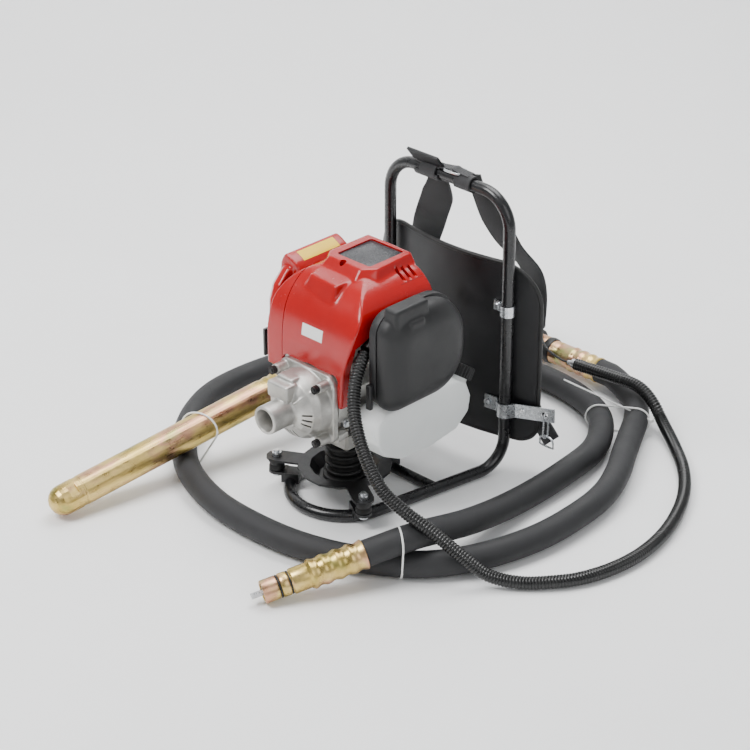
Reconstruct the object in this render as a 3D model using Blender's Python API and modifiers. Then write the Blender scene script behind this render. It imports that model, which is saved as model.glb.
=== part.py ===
"""Backpack petrol concrete vibrator with its flexible shaft lying round it. Metres, +Z up, floor at Z = 0."""
import math

import bmesh
import bpy
from mathutils import Matrix, Vector

GAP = 0.0003

# Back frame: one bent tube, upright behind the engine, with a loop on the floor in front.
TUBE_R = 0.008
UPRIGHT_X, UPRIGHT_Y, BAR_Z = 0.105, 0.193, 0.390
BASE_Z = TUBE_R
LOOP_R, LEG_SPLAY = 0.072, math.radians(9.4)
TOP_BEND, FOOT_BEND = 0.045, 0.040

# Three-armed plate on rubber bushes, and the ribbed damper on it.
ARM_ANGLES = [math.radians(a) for a in (90, 210, 330)]
ARM_BOLT_R, ARM_END_R, ARM_HALF = 0.092, 0.106, 0.014
PLATE_Z, PLATE_T = 0.0403, 0.003
CROSSBAR_Y = ARM_BOLT_R - 0.010

# Engine: output shaft along -Y.
CRANK_Z = 0.162
BOLT_HALF = 0.038
BORE_R, STROKE, CYL_Y = 0.0198, 0.030, 0.003

# Curved back board.
BOARD_X, BOARD_LOW, BOARD_TOP, BOARD_T = 0.143, 0.040, 0.296, 0.006
BOARD_FRONT_Y, BOARD_CURVE = 0.1875, 1.45

# Flexible shaft, poker and throttle conduit.
HOSE_R, HOSE_Z = 0.0172, 0.0195
CONDUIT_R = 0.0087
COUPLING_MOUTH = Vector((0.116, -0.258, 0.0157))
COUPLING_END = Vector((0.176, -0.141, 0.0450))
UNION_X, UNION_Y, UNION_Z = (-0.110, 0.046), 0.463, 0.0235
POKER_TIP = Vector((-0.219, -0.314, 0.0207))
POKER_DIR = Vector((0.1650, 0.9710, 0.1790)).normalized()
POKER_R, POKER_L, POKER_SEAM = 0.0203, 0.360, 0.045

MAIN_ROUTE = [(0.203, -0.078, 0.0555), (0.206, 0.018, 0.036), (0.197, 0.120, HOSE_Z), (0.192, 0.220, HOSE_Z),
              (0.177, 0.297, HOSE_Z), (0.130, 0.362, HOSE_Z), (0.060, 0.392, HOSE_Z), (-0.020, 0.398, HOSE_Z),
              (-0.110, 0.382, HOSE_Z), (-0.195, 0.335, HOSE_Z), (-0.262, 0.258, HOSE_Z),
              (-0.298, 0.160, HOSE_Z), (-0.303, 0.060, HOSE_Z), (-0.279, -0.010, HOSE_Z),
              (-0.232, -0.072, HOSE_Z), (-0.163, -0.126, HOSE_Z), (-0.073, -0.157, HOSE_Z),
              (0.029, -0.160, HOSE_Z), (0.110, -0.1435, HOSE_Z), (0.172, -0.1130, HOSE_Z),
              (0.222, -0.072, HOSE_Z), (0.256, -0.010, HOSE_Z), (0.275, 0.070, HOSE_Z),
              (0.275, 0.150, HOSE_Z), (0.265, 0.210, HOSE_Z), (0.243, 0.263, HOSE_Z), (0.218, 0.306, HOSE_Z),
              (0.193, 0.350, HOSE_Z), (0.169, 0.392, HOSE_Z), (0.142, 0.4255, HOSE_Z), (0.116, 0.4435, 0.020),
              (0.085, 0.4575, 0.022)]
TAIL_ROUTE = [(-0.165, 0.4550, 0.0235), (-0.215, 0.425, 0.029), (-0.243, 0.375, 0.042), (-0.247, 0.318, 0.0565),
              (-0.232, 0.262, 0.0625), (-0.209, 0.215, 0.0700), (-0.187, 0.172, 0.0780), (-0.168, 0.130, 0.0835),
              (-0.158, 0.090, 0.0865)]
CONDUIT_ROUTE = [(0.0775, -0.0490, 0.2340), (0.081, -0.061, 0.216), (0.086, -0.069, 0.196), (0.095, -0.076, 0.176),
                 (0.107, -0.081, 0.156), (0.123, -0.086, 0.136), (0.141, -0.090, 0.119), (0.163, -0.092, 0.103),
                 (0.197, -0.088, 0.0875), (0.228, -0.076, 0.0695), (0.262, -0.058, 0.041), (0.288, -0.040, 0.018),
                 (0.318, -0.016, 0.010), (0.345, 0.012, 0.010), (0.366, 0.045, 0.010), (0.379, 0.090, 0.010),
                 (0.382, 0.140, 0.010), (0.373, 0.195, 0.010), (0.353, 0.250, 0.010), (0.325, 0.300, 0.010),
                 (0.288, 0.345, 0.010), (0.242, 0.385, 0.010), (0.198, 0.4130, 0.020), (0.178, 0.4190, 0.036),
                 (0.157, 0.4225, 0.0475), (0.135, 0.4235, 0.0515), (0.100, 0.4210, 0.0505)]
CONDUIT_END = (0.040, 0.4170, 0.0485)
ELBOW_END = Vector((0.0725, -0.0335, 0.2475))

# Throttle handle, clamped on the union.
HANDLE_X, HANDLE_Z = (-0.160, -0.064), (0.0475, 0.070)
TRIGGER_PIVOT = Vector((-0.086, UNION_Y, 0.0735))
TRIGGER_REST = math.radians(14)

# Foot of the fuel neck and its direction, and the joint axis of each moving part.
NECK_FOOT = Vector((0.080, 0.116, 0.138))
NECK_AXIS = Vector((0, 0.574, 0.819)).normalized()
CRANK_AXIS = (0, 0, CRANK_Z)
PIVOTS = {"crankshaft": CRANK_AXIS, "flywheel": CRANK_AXIS, "clutch_shoes": CRANK_AXIS, "clutch_drum": CRANK_AXIS,
          "recoil_pulley": CRANK_AXIS, "starter_grip": (-0.065, 0.065, 0.185), "piston": (0, CYL_Y, 0.236),
          "primer_bulb": (0.060, -0.0084, 0.232), "throttle_lever": (0.056, 0.012, 0.2638),
          "air_cleaner_cover": (0.1005, 0.026, 0.1725), "choke_lever": (0.093, -0.0486, 0.205),
          "fuel_cap": NECK_FOOT, "oil_cap": (-0.050, 0.005, 0.150), "drive_core": COUPLING_MOUTH,
          "eccentric_rotor": POKER_TIP, "throttle_trigger": TRIGGER_PIVOT, "stop_switch": (-0.074, UNION_Y, 0.068)}
# The whole part is laid out from the crankshaft; this moves it to the middle of the machine's footprint.
FRAME_SHIFT = Vector((0, -0.058, 0))

AXIS_Z = Matrix.Identity(4)
AXIS_FRONT = Matrix.Rotation(math.radians(90), 4, "X")


def clear_scene():
    for obj in list(bpy.data.objects):
        bpy.data.objects.remove(obj, do_unlink=True)


def collection(name):
    found = bpy.data.collections.new(name)
    bpy.context.scene.collection.children.link(found)
    return found


clear_scene()
PARTS = collection("concrete_vibrator")
CUTTERS = collection("cutters")


def material(name, color, rough=0.5, metal=0.0, alpha=1.0):
    mat = bpy.data.materials.new(name)
    mat.use_nodes = True
    shader = mat.node_tree.nodes["Principled BSDF"]
    shader.inputs["Base Color"].default_value = (*color, 1)
    shader.inputs["Roughness"].default_value = rough
    shader.inputs["Metallic"].default_value = metal
    shader.inputs["Alpha"].default_value = alpha
    return mat


BLACK = (0.02, 0.02, 0.02)
RUBBER = (0.03, 0.03, 0.03)
RED = (0.62, 0.02, 0.02)
CAST = (0.62, 0.62, 0.60)
STEEL = (0.75, 0.76, 0.78)
GOLD = (0.62, 0.50, 0.20)
WHITE = (0.85, 0.87, 0.86)
WEB = (0.03, 0.03, 0.032)
SHARP = math.radians(35)


def add(name, mesh, color, rough=0.5, metal=0.0, alpha=1.0):
    """Make the named part from a mesh."""
    obj = bpy.data.objects.new(name, mesh)
    PARTS.objects.link(obj)
    mesh.materials.clear()
    mesh.materials.append(material(name, color, rough, metal, alpha))
    mesh.shade_smooth()
    mesh.set_sharp_from_angle(angle=SHARP)
    return obj


def from_bm(bm, name="mesh"):
    mesh = bpy.data.meshes.new(name)
    bmesh.ops.recalc_face_normals(bm, faces=bm.faces[:])
    bm.to_mesh(mesh)
    bm.free()
    return mesh


def box_mesh(low, high, bevel=0.0, segments=1):
    """A box between two corners, with its edges rounded."""
    bm = bmesh.new()
    bmesh.ops.create_cube(bm, size=1)
    size = [h - l for l, h in zip(low, high)]
    middle = [(h + l) / 2 for l, h in zip(low, high)]
    bmesh.ops.scale(bm, vec=size, verts=bm.verts)
    bmesh.ops.translate(bm, vec=middle, verts=bm.verts)
    if bevel:
        bmesh.ops.bevel(bm, geom=bm.edges[:], offset=bevel, segments=segments, affect="EDGES", profile=0.5)
    return from_bm(bm)


def rod_mesh(start, end, radius, sides=16, radius_end=None):
    """A cylinder or cone between two points."""
    start, end = Vector(start), Vector(end)
    bm = bmesh.new()
    span = end - start
    turn = span.to_track_quat("Z", "Y").to_matrix().to_4x4()
    bmesh.ops.create_cone(bm, cap_ends=True, segments=sides, radius1=radius,
                          radius2=radius if radius_end is None else radius_end, depth=span.length)
    bmesh.ops.transform(bm, matrix=Matrix.Translation((start + end) / 2) @ turn, verts=bm.verts)
    return from_bm(bm)


def turned_mesh(profile, matrix, steps=24, closed=False):
    """A profile of (radius, height) spun about local Z with a Screw modifier, then placed by the matrix."""
    bm = bmesh.new()
    points = [bm.verts.new((r, 0, z)) for r, z in profile]
    for a, b in zip(points, points[1:]):
        bm.edges.new((a, b))
    if closed:
        bm.edges.new((points[-1], points[0]))
    mesh = bpy.data.meshes.new("profile")
    bm.to_mesh(mesh)
    bm.free()
    obj = bpy.data.objects.new("profile", mesh)
    CUTTERS.objects.link(obj)
    screw = obj.modifiers.new("Screw", "SCREW")
    screw.axis = "Z"
    screw.steps = steps
    screw.render_steps = steps
    screw.use_merge_vertices = True
    screw.merge_threshold = 0.00001
    turned = bpy.data.meshes.new_from_object(obj.evaluated_get(bpy.context.evaluated_depsgraph_get()))
    bpy.data.objects.remove(obj, do_unlink=True)
    bm = bmesh.new()
    bm.from_mesh(turned)
    bmesh.ops.remove_doubles(bm, verts=bm.verts, dist=0.00001)
    bmesh.ops.transform(bm, matrix=matrix, verts=bm.verts)
    return from_bm(bm)


def along(start, direction):
    """Matrix that puts local Z along a direction from a start point."""
    return Matrix.Translation(Vector(start)) @ Vector(direction).to_track_quat("Z", "Y").to_matrix().to_4x4()


def smooth_route(points, spacing):
    """Points read at an even spacing from a Catmull-Rom curve through the route."""
    knots = [Vector(p) for p in points]
    ends = [2 * knots[0] - knots[1]] + knots + [2 * knots[-1] - knots[-2]]
    fine = []
    for p0, p1, p2, p3 in zip(ends, ends[1:], ends[2:], ends[3:]):
        for k in range(16):
            t = k / 16
            fine.append(0.5 * (2 * p1 + (p2 - p0) * t + (2 * p0 - 5 * p1 + 4 * p2 - p3) * t * t
                               + (3 * p1 - p0 - 3 * p2 + p3) * t ** 3))
    fine.append(knots[-1])
    total = sum((b - a).length for a, b in zip(fine, fine[1:]))
    count = max(2, round(total / spacing))
    step, travelled, out, want = total / count, 0.0, [fine[0]], total / count
    for a, b in zip(fine, fine[1:]):
        length = (b - a).length
        while travelled + length >= want - 1e-9 and len(out) < count:
            out.append(a.lerp(b, (want - travelled) / length))
            want += step
        travelled += length
    out.append(fine[-1])
    return out


def tube_mesh(points, radius, resolution=2, cyclic=False):
    """A round tube along points, from a curve with filled caps."""
    curve = bpy.data.curves.new("path", "CURVE")
    curve.dimensions = "3D"
    curve.bevel_depth = radius
    curve.bevel_resolution = resolution
    curve.use_fill_caps = True
    spline = curve.splines.new("POLY")
    spline.points.add(len(points) - 1)
    for point, at in zip(spline.points, points):
        point.co = (*at, 1)
    spline.use_cyclic_u = cyclic
    obj = bpy.data.objects.new("path", curve)
    CUTTERS.objects.link(obj)
    made = bpy.data.meshes.new_from_object(obj.evaluated_get(bpy.context.evaluated_depsgraph_get()))
    bpy.data.objects.remove(obj, do_unlink=True)
    bm = bmesh.new()
    bm.from_mesh(made)
    bmesh.ops.remove_doubles(bm, verts=bm.verts, dist=0.00001)
    return from_bm(bm)


def plate_mesh(outline, thickness, matrix):
    """A flat outline extruded to both sides of local Z = 0."""
    curve = bpy.data.curves.new("outline", "CURVE")
    curve.dimensions = "2D"
    curve.fill_mode = "BOTH"
    curve.extrude = thickness / 2
    spline = curve.splines.new("POLY")
    spline.points.add(len(outline) - 1)
    for point, (x, y) in zip(spline.points, outline):
        point.co = (x, y, 0, 1)
    spline.use_cyclic_u = True
    obj = bpy.data.objects.new("outline", curve)
    CUTTERS.objects.link(obj)
    made = bpy.data.meshes.new_from_object(obj.evaluated_get(bpy.context.evaluated_depsgraph_get()))
    bpy.data.objects.remove(obj, do_unlink=True)
    bm = bmesh.new()
    bm.from_mesh(made)
    bmesh.ops.remove_doubles(bm, verts=bm.verts, dist=0.00001)
    bmesh.ops.transform(bm, matrix=matrix, verts=bm.verts)
    return from_bm(bm)


# Local X, Y of an outline laid on the Y-Z plane (thickness along X) and on the X-Z plane (thickness along Y).
ON_YZ = Matrix(((0, 0, 1, 0), (1, 0, 0, 0), (0, 1, 0, 0), (0, 0, 0, 1)))
ON_XZ = Matrix(((1, 0, 0, 0), (0, 0, -1, 0), (0, 1, 0, 0), (0, 0, 0, 1)))


def at_x(x):
    return Matrix.Translation((x, 0, 0)) @ ON_YZ


def at_y(y):
    return Matrix.Translation((0, y, 0)) @ ON_XZ


def boolean(obj, mesh, operation):
    """Apply one Boolean step with a mesh as the other operand."""
    cutter = bpy.data.objects.new("cutter", mesh)
    CUTTERS.objects.link(cutter)
    cutter.hide_render = True
    cutter.display_type = "WIRE"
    step = obj.modifiers.new("Boolean", "BOOLEAN")
    step.operation = operation
    step.solver = "EXACT"
    step.object = cutter
    bpy.context.view_layer.update()
    made = bpy.data.meshes.new_from_object(obj.evaluated_get(bpy.context.evaluated_depsgraph_get()))
    obj.modifiers.clear()
    bpy.data.objects.remove(cutter, do_unlink=True)
    bm = bmesh.new()
    bm.from_mesh(made)
    bmesh.ops.remove_doubles(bm, verts=bm.verts, dist=0.000001)
    bm.to_mesh(obj.data)
    bm.free()
    obj.data.shade_smooth()
    obj.data.set_sharp_from_angle(angle=SHARP)
    return obj


def union(obj, *meshes):
    for mesh in meshes:
        boolean(obj, mesh, "UNION")
    return obj


def cut(obj, *meshes):
    for mesh in meshes:
        boolean(obj, mesh, "DIFFERENCE")
    return obj


def arc(centre, radius, start, end, count):
    """Points on an arc, angles in degrees."""
    out = []
    for k in range(count + 1):
        a = math.radians(start + (end - start) * k / count)
        out.append((centre[0] + radius * math.cos(a), centre[1] + radius * math.sin(a)))
    return out


def rounded_box(low, high, radii, count=4):
    """Outline of a rectangle with its own radius at each corner: low-low, high-low, high-high, low-high."""
    (x0, y0), (x1, y1) = low, high
    a, b, c, d = radii
    return (arc((x0 + a, y0 + a), a, 180, 270, count) + arc((x1 - b, y0 + b), b, 270, 360, count)
            + arc((x1 - c, y1 - c), c, 0, 90, count) + arc((x0 + d, y1 - d), d, 90, 180, count))


def bend(before, corner, after, radius, count=5):
    """Arc points that round a corner between two straight runs."""
    before, corner, after = Vector(before), Vector(corner), Vector(after)
    u, w = (before - corner).normalized(), (after - corner).normalized()
    half = u.angle(w) / 2
    reach = radius / math.tan(half)
    centre = corner + (u + w).normalized() * (radius / math.sin(half))
    first, last = corner + u * reach - centre, corner + w * reach - centre
    return [centre + first.slerp(last, k / count).normalized() * radius for k in range(count + 1)]


def polar(angle, radius, z):
    return Vector((radius * math.cos(angle), radius * math.sin(angle), z))


def board_y(x):
    return BOARD_FRONT_Y + BOARD_CURVE * x * x


def build_frame():
    run = (UPRIGHT_X - LOOP_R * math.cos(LEG_SPLAY)) / math.sin(LEG_SPLAY)
    loop_y = UPRIGHT_Y - run * math.cos(LEG_SPLAY) + LOOP_R * math.sin(LEG_SPLAY)
    tangent = (LOOP_R * math.cos(LEG_SPLAY), loop_y - LOOP_R * math.sin(LEG_SPLAY), BASE_Z)
    top, foot = (UPRIGHT_X, UPRIGHT_Y, BAR_Z), (UPRIGHT_X, UPRIGHT_Y, BASE_Z)
    right = bend((0, UPRIGHT_Y, BAR_Z), top, foot, TOP_BEND) + bend(top, foot, tangent, FOOT_BEND)
    sweep = arc((0, loop_y), LOOP_R, -9.4, -170.6, 14)
    loop = [Vector((x, y, BASE_Z)) for x, y in sweep]
    left = [Vector((-p.x, p.y, p.z)) for p in reversed(right)]
    frame = add("frame_tube", tube_mesh(right + loop + left, TUBE_R, 2, cyclic=True), BLACK, 0.3)
    half = UPRIGHT_X - math.tan(LEG_SPLAY) * (UPRIGHT_Y - CROSSBAR_Y)
    union(frame, rod_mesh((-half, CROSSBAR_Y, BASE_Z), (half, CROSSBAR_Y, BASE_Z), 0.007, 12))


def build_board():
    steps = 12
    front = []
    back = []
    for k in range(steps + 1):
        x = -BOARD_X + 2 * BOARD_X * k / steps
        front.append((x, board_y(x)))
        back.append((x, board_y(x) + BOARD_T))
    middle = (BOARD_LOW + BOARD_TOP) / 2
    slab = plate_mesh(front + back[::-1], BOARD_TOP - BOARD_LOW + 0.02, Matrix.Translation((0, 0, middle)))
    board = add("back_pad", slab, BLACK, 0.55)
    edge = BOARD_X - 0.0005
    outline = rounded_box((-edge, BOARD_LOW), (edge, BOARD_TOP), (0.028, 0.028, 0.058, 0.058), 5)
    boolean(board, plate_mesh(outline, 0.2, at_y(0.21)), "INTERSECT")


def strip_outline(path, thickness):
    """Outline of a bent strip of even thickness along a path in plan."""
    points = [Vector((x, y)) for x, y in path]
    left, right = [], []
    for k, p in enumerate(points):
        ahead = points[min(k + 1, len(points) - 1)] - points[max(k - 1, 0)]
        side = Vector((-ahead.y, ahead.x)).normalized() * thickness / 2
        left.append(tuple(p + side))
        right.append(tuple(p - side))
    return left + right[::-1]


def build_clips():
    for word, side in (("left", -1), ("right", 1)):
        clip_z = 0.234
        band = [(0.0098, clip_z + 0.0075), (0.0098, clip_z - 0.0075), (0.0083, clip_z - 0.0075),
                (0.0083, clip_z + 0.0075)]
        place = Matrix.Translation((side * UPRIGHT_X, UPRIGHT_Y, 0))
        clip = add("upper_clip_" + word, turned_mesh(band, place, 16, closed=True), STEEL, 0.3, 1.0)
        tab_x = sorted((side * 0.080, side * 0.0962))
        union(clip, box_mesh((tab_x[0], 0.1942, clip_z - 0.007), (tab_x[1], 0.1964, clip_z + 0.007)))
        path = [(0.070, 0.1925), (0.088, 0.1955), (0.0945, 0.1915)]
        path += [(UPRIGHT_X + dx, UPRIGHT_Y + dy) for dx, dy in arc((0, 0), 0.0098, 190, 350, 6)]
        path += [(0.1185, 0.1985), (0.138, 0.2085), (0.166, 0.2225)]
        outline = [(side * x, y) for x, y in strip_outline(path, 0.002)]
        strip = plate_mesh(outline, 0.020, Matrix.Translation((0, 0, 0.090)))
        bracket = add("strap_bracket_" + word, strip, STEEL, 0.3, 1.0)
        cut(bracket, rod_mesh((side * 0.1545, 0.205, 0.090), (side * 0.1545, 0.235, 0.090), 0.0045, 12))


def ribbon_mesh(path, widths, thickness, across):
    """A flat web along a path: a grid moved to the path, then given its thickness."""
    bm = bmesh.new()
    path = [Vector(p) for p in path]
    rings = []
    for k, p in enumerate(path):
        run = (path[min(k + 1, len(path) - 1)] - path[max(k - 1, 0)]).normalized()
        wide = Vector(across[k] if isinstance(across, list) else across).normalized()
        wide = (wide - run * wide.dot(run)).normalized()
        out = run.cross(wide).normalized() * thickness / 2
        wide = wide * widths[k] / 2 if isinstance(widths, list) else wide * widths / 2
        rings.append([bm.verts.new(p + a * wide + b * out) for a, b in ((-1, -1), (1, -1), (1, 1), (-1, 1))])
    for a, b in zip(rings, rings[1:]):
        for k in range(4):
            bm.faces.new((a[k], a[(k + 1) % 4], b[(k + 1) % 4], b[k]))
    bm.faces.new(rings[0][::-1])
    bm.faces.new(rings[-1])
    return from_bm(bm)


STRAP_ROUTE = [(0.030, 0.2045, 0.3990), (0.034, 0.2090, 0.380), (0.046, 0.222, 0.345), (0.068, 0.234, 0.305),
               (0.094, 0.252, 0.265), (0.106, 0.248, 0.215), (0.104, 0.233, 0.160), (0.108, 0.231, 0.110),
               (0.128, 0.2335, 0.072), (0.154, 0.2330, 0.0440)]


def build_harness():
    for word, side in (("left", -1), ("right", 1)):
        route = smooth_route([(side * x, y, z) for x, y, z in STRAP_ROUTE], 0.030)
        add("shoulder_strap_" + word, ribbon_mesh(route, 0.036, 0.003, (1, -0.1 * side, 0)), WEB, 0.9)
    tab = [(-0.033, 0.176, 0.4190), (-0.033, 0.184, 0.4075), (-0.033, 0.190, 0.3995)]
    add("carry_tab", ribbon_mesh(tab, 0.054, 0.0035, (1, 0, 0)), WEB, 0.7)


def build_mount():
    """Three-armed plate, saddles on the tube, bushes, bolts and the damper."""
    profile = [(0, 0.0290), (0.0330, 0.0290), (0.0460, PLATE_Z + PLATE_T), (0.0620, PLATE_Z + PLATE_T),
               (0.0620, PLATE_Z), (0.0480, PLATE_Z), (0.0345, 0.0260), (0, 0.0260)]
    plate = add("engine_plate", turned_mesh(profile, AXIS_Z, 14), BLACK, 0.5)
    for number, angle in enumerate(ARM_ANGLES, 1):
        turn = Matrix.Rotation(angle, 4, "Z")
        straight = ARM_END_R - ARM_HALF
        arm = [(0.054, -ARM_HALF)] + arc((straight, 0), ARM_HALF, -90, 90, 6) + [(0.054, ARM_HALF)]
        place = turn @ Matrix.Translation((0, 0, PLATE_Z + PLATE_T / 2))
        union(plate, plate_mesh(arm, PLATE_T, place))
        bolt = polar(angle, ARM_BOLT_R, 0)
        cut(plate, rod_mesh(bolt + Vector((0, 0, 0.03)), bolt + Vector((0, 0, 0.05)), 0.0045, 12))
        finger = [(0.079, -0.011)] + arc((ARM_BOLT_R, 0), 0.011, -90, 90, 6) + [(0.079, 0.011)]
        shelf = plate_mesh(finger, 0.004, turn @ Matrix.Translation((0, 0, 0.022)))
        saddle = add(f"tube_saddle_{number}", shelf, BLACK, 0.5)
        block = box_mesh((0.060 if angle > 2 else 0.071, -0.0105, 0.0095),
                         (0.0835 if angle > 2 else 0.0932, 0.0105, 0.0235))
        block.transform(turn)
        union(saddle, block)
        if angle > 2:
            cut(saddle, tube_mesh([Vector((x, y, BASE_Z)) for x, y in arc((0, -0.0004), LOOP_R, 0, 345, 23)],
                                  TUBE_R + 0.0007, 3, cyclic=True))
        else:
            cut(saddle, rod_mesh((-0.05, CROSSBAR_Y, BASE_Z), (0.05, CROSSBAR_Y, BASE_Z), 0.0075, 12))
        cut(saddle, rod_mesh(bolt + Vector((0, 0, 0.002)), bolt + Vector((0, 0, 0.0199)), 0.0065, 12))
        cut(saddle, rod_mesh(bolt + Vector((0, 0, 0.002)), bolt + Vector((0, 0, 0.030)), 0.0045, 12))
        stud = [(0, 0.0520), (0.0040, 0.0520), (0.0040, 0.0490), (0.0065, 0.0490), (0.0065, 0.0437),
                (0.0040, 0.0437), (0.0040, 0.0196), (0.0058, 0.0196), (0.0058, 0.0150), (0, 0.0150)]
        add(f"mount_bolt_{number}", turned_mesh(stud, Matrix.Translation(bolt), 12), STEEL, 0.3, 1.0)
    ribs = [(0, 0.0782), (0.0200, 0.0782)]
    for k in range(4):
        top = 0.0770 - 0.0115 * k
        ribs += [(0.0255, top), (0.0255, top - 0.0045), (0.0205, top - 0.0060), (0.0205, top - 0.0100)]
    ribs += [(0.0285, 0.0330), (0.0285, 0.0293), (0, 0.0293)]
    add("damper", turned_mesh(ribs, AXIS_Z, 14), RUBBER, 0.7)


def crank_place():
    return Matrix.Translation((0, 0, CRANK_Z)) @ AXIS_FRONT


def lug_places():
    return [(sx * BOLT_HALF, CRANK_Z + sz * BOLT_HALF) for sx in (-1, 1) for sz in (-1, 1)]


def build_crankcase():
    ring = [(0.0495, 0.0580), (0.0495, 0.0265), (0.0430, 0.0245), (0.0430, -0.0345), (0.0065, -0.0345),
            (0.0065, -0.0255), (0.0340, -0.0255), (0.0340, 0.0195), (0.0065, 0.0195), (0.0065, 0.0275),
            (0.0445, 0.0275), (0.0445, 0.0580)]
    case = add("crankcase", turned_mesh(ring, crank_place(), 18, closed=True), CAST, 0.45, 0.8)
    union(case, box_mesh((-0.026, -0.022, 0.0786), (0.026, 0.024, 0.1250), 0.003))
    union(case, box_mesh((-0.030, -0.018, 0.1945), (0.030, 0.026, 0.2060)))
    cut(case, rod_mesh((0, CYL_Y, 0.180), (0, CYL_Y, 0.210), BORE_R + 0.0004, 24))
    for x, z in lug_places():
        union(case, rod_mesh((x * 1.06, -0.0578, CRANK_Z + (z - CRANK_Z) * 1.06),
                             (x * 1.06, -0.0420, CRANK_Z + (z - CRANK_Z) * 1.06), 0.0085, 12))
        cut(case, rod_mesh((x, -0.070, z), (x, -0.045, z), 0.0034, 10))
    union(case, rod_mesh((-0.038, 0.005, 0.150), (-0.0500, 0.005, 0.150), 0.0090, 14))


def build_housing():
    ring = [(0.0190, 0.1400), (0.0190, 0.1040), (0.0320, 0.1000), (0.0420, 0.0930), (0.0465, 0.0830),
            (0.0475, 0.0660), (0.0495, 0.0660), (0.0495, 0.0583), (0.0425, 0.0583), (0.0425, 0.0825),
            (0.0163, 0.0930), (0.0163, 0.1025), (0.0140, 0.1030), (0.0140, 0.1400)]
    housing = add("clutch_housing", turned_mesh(ring, crank_place(), 14, closed=True), CAST, 0.4, 0.8)
    union(housing, box_mesh((-0.024, -0.1120, 0.1800), (0.014, -0.0940, 0.2020), 0.003))
    for x, z in lug_places():
        far_x, far_z = x * 1.06, CRANK_Z + (z - CRANK_Z) * 1.06
        union(housing, rod_mesh((far_x, -0.0660, far_z), (far_x, -0.0583, far_z), 0.0085, 12))
        union(housing, rod_mesh((x, -0.0850, z), (x, -0.0600, z), 0.0065, 12))
        cut(housing, rod_mesh((x, -0.090, z), (x, -0.050, z), 0.0034, 10))
    screw = [(0, 0.0915), (0.0055, 0.0915), (0.0055, 0.0853), (0.0030, 0.0853), (0.0030, 0.0470), (0, 0.0470)]
    for number, (x, z) in enumerate(lug_places(), 1):
        place = Matrix.Translation((x, 0, z)) @ AXIS_FRONT
        add(f"housing_bolt_{number}", turned_mesh(screw, place, 10), BLACK, 0.35, 0.6)
    race = [(0.0160, 0.1022), (0.0160, 0.0934), (0.0075, 0.0934), (0.0075, 0.1022)]
    add("drum_bearing", turned_mesh(race, crank_place(), 14, closed=True), STEEL, 0.25, 1.0)


def build_spinning():
    drum = [(0, 0.1180), (0.0072, 0.1180), (0.0072, 0.0930), (0.0100, 0.0930), (0.0100, 0.0852),
            (0.0395, 0.0805), (0.0410, 0.0795), (0.0410, 0.0615), (0.0385, 0.0615), (0.0385, 0.0778), (0, 0.0778)]
    cup = add("clutch_drum", turned_mesh(drum, crank_place(), 18), STEEL, 0.35, 1.0)
    cut(cup, box_mesh((-0.0038, -0.1300, CRANK_Z - 0.0038), (0.0038, -0.1080, CRANK_Z + 0.0038)))
    front = [(0, 0.0760), (0.0060, 0.0760), (0.0060, 0.0150), (0.0300, 0.0150), (0.0300, 0.0060), (0, 0.0060)]
    crank = add("crankshaft", turned_mesh(front, crank_place(), 14), STEEL, 0.3, 1.0)
    pin_z = CRANK_Z - STROKE / 2
    union(crank, rod_mesh((0, -0.0100, pin_z), (0, 0.0180, pin_z), 0.0060, 12))
    rear = [(0, -0.0120), (0.0300, -0.0120), (0.0300, -0.0210), (0.0060, -0.0210), (0.0060, -0.0400), (0, -0.0400)]
    union(crank, turned_mesh(rear, crank_place(), 14))
    wheel = [(0.0430, 0.0545), (0.0430, 0.0330), (0.0063, 0.0330), (0.0063, 0.0545), (0.0200, 0.0545),
             (0.0230, 0.0450), (0.0400, 0.0450), (0.0410, 0.0545)]
    add("flywheel", turned_mesh(wheel, crank_place(), 18, closed=True), CAST, 0.4, 0.8)
    hub = [(0.0160, 0.0740), (0.0160, 0.0640), (0.0063, 0.0640), (0.0063, 0.0740)]
    shoes = add("clutch_shoes", turned_mesh(hub, crank_place(), 14, closed=True), (0.25, 0.24, 0.22), 0.6, 0.7)
    for start in (15, 195):
        outline = arc((0, 0), 0.0368, start, start + 150, 10) + arc((0, 0), 0.0150, start + 150, start, 6)
        union(shoes, plate_mesh(outline, 0.0120, crank_place() @ Matrix.Translation((0, 0, 0.0690))))


def build_cylinder():
    profile = [(0, 0.2850), (0.0270, 0.2850), (0.0270, 0.2680)]
    for k in range(4):
        top = 0.2640 - 0.0125 * k
        profile += [(0.0260, top), (0.0330, top), (0.0330, top - 0.0030), (0.0260, top - 0.0030)]
    profile += [(0.0260, 0.2063), (BORE_R, 0.2063), (BORE_R, 0.2530), (0, 0.2530)]
    place = Matrix.Translation((0, CYL_Y, 0))
    add("cylinder", turned_mesh(profile, place, 14), CAST, 0.5, 0.7)
    middle = 0.2360
    crown = [(0, middle), (0.0194, middle), (0.0194, middle - 0.0235), (0.0160, middle - 0.0235),
             (0.0160, middle - 0.0060), (0, middle - 0.0060)]
    add("piston", turned_mesh(crown, place, 14), CAST, 0.3, 0.9)
    can = add("muffler", box_mesh((-0.0915, -0.0180, 0.2050), (-0.0460, 0.0520, 0.2780), 0.006, 2), STEEL, 0.5, 0.8)
    union(can, rod_mesh((-0.050, CYL_Y, 0.245), (-0.0336, CYL_Y, 0.245), 0.0090, 12))


HOOD_FRONT = [(-0.079, 0.186), (-0.079, 0.268), (-0.066, 0.305), (-0.040, 0.327), (0.030, 0.331), (0.056, 0.318),
              (0.078, 0.292), (0.072, 0.262), (0.058, 0.215), (0.054, 0.166), (0.040, 0.166), (0.036, 0.186)]
HOOD_SIDE = [(-0.0600, 0.160), (-0.0605, 0.262), (-0.0500, 0.295), (-0.0280, 0.318), (0.000, 0.330),
             (0.020, 0.334), (0.072, 0.334), (0.086, 0.320), (0.090, 0.160)]


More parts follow.
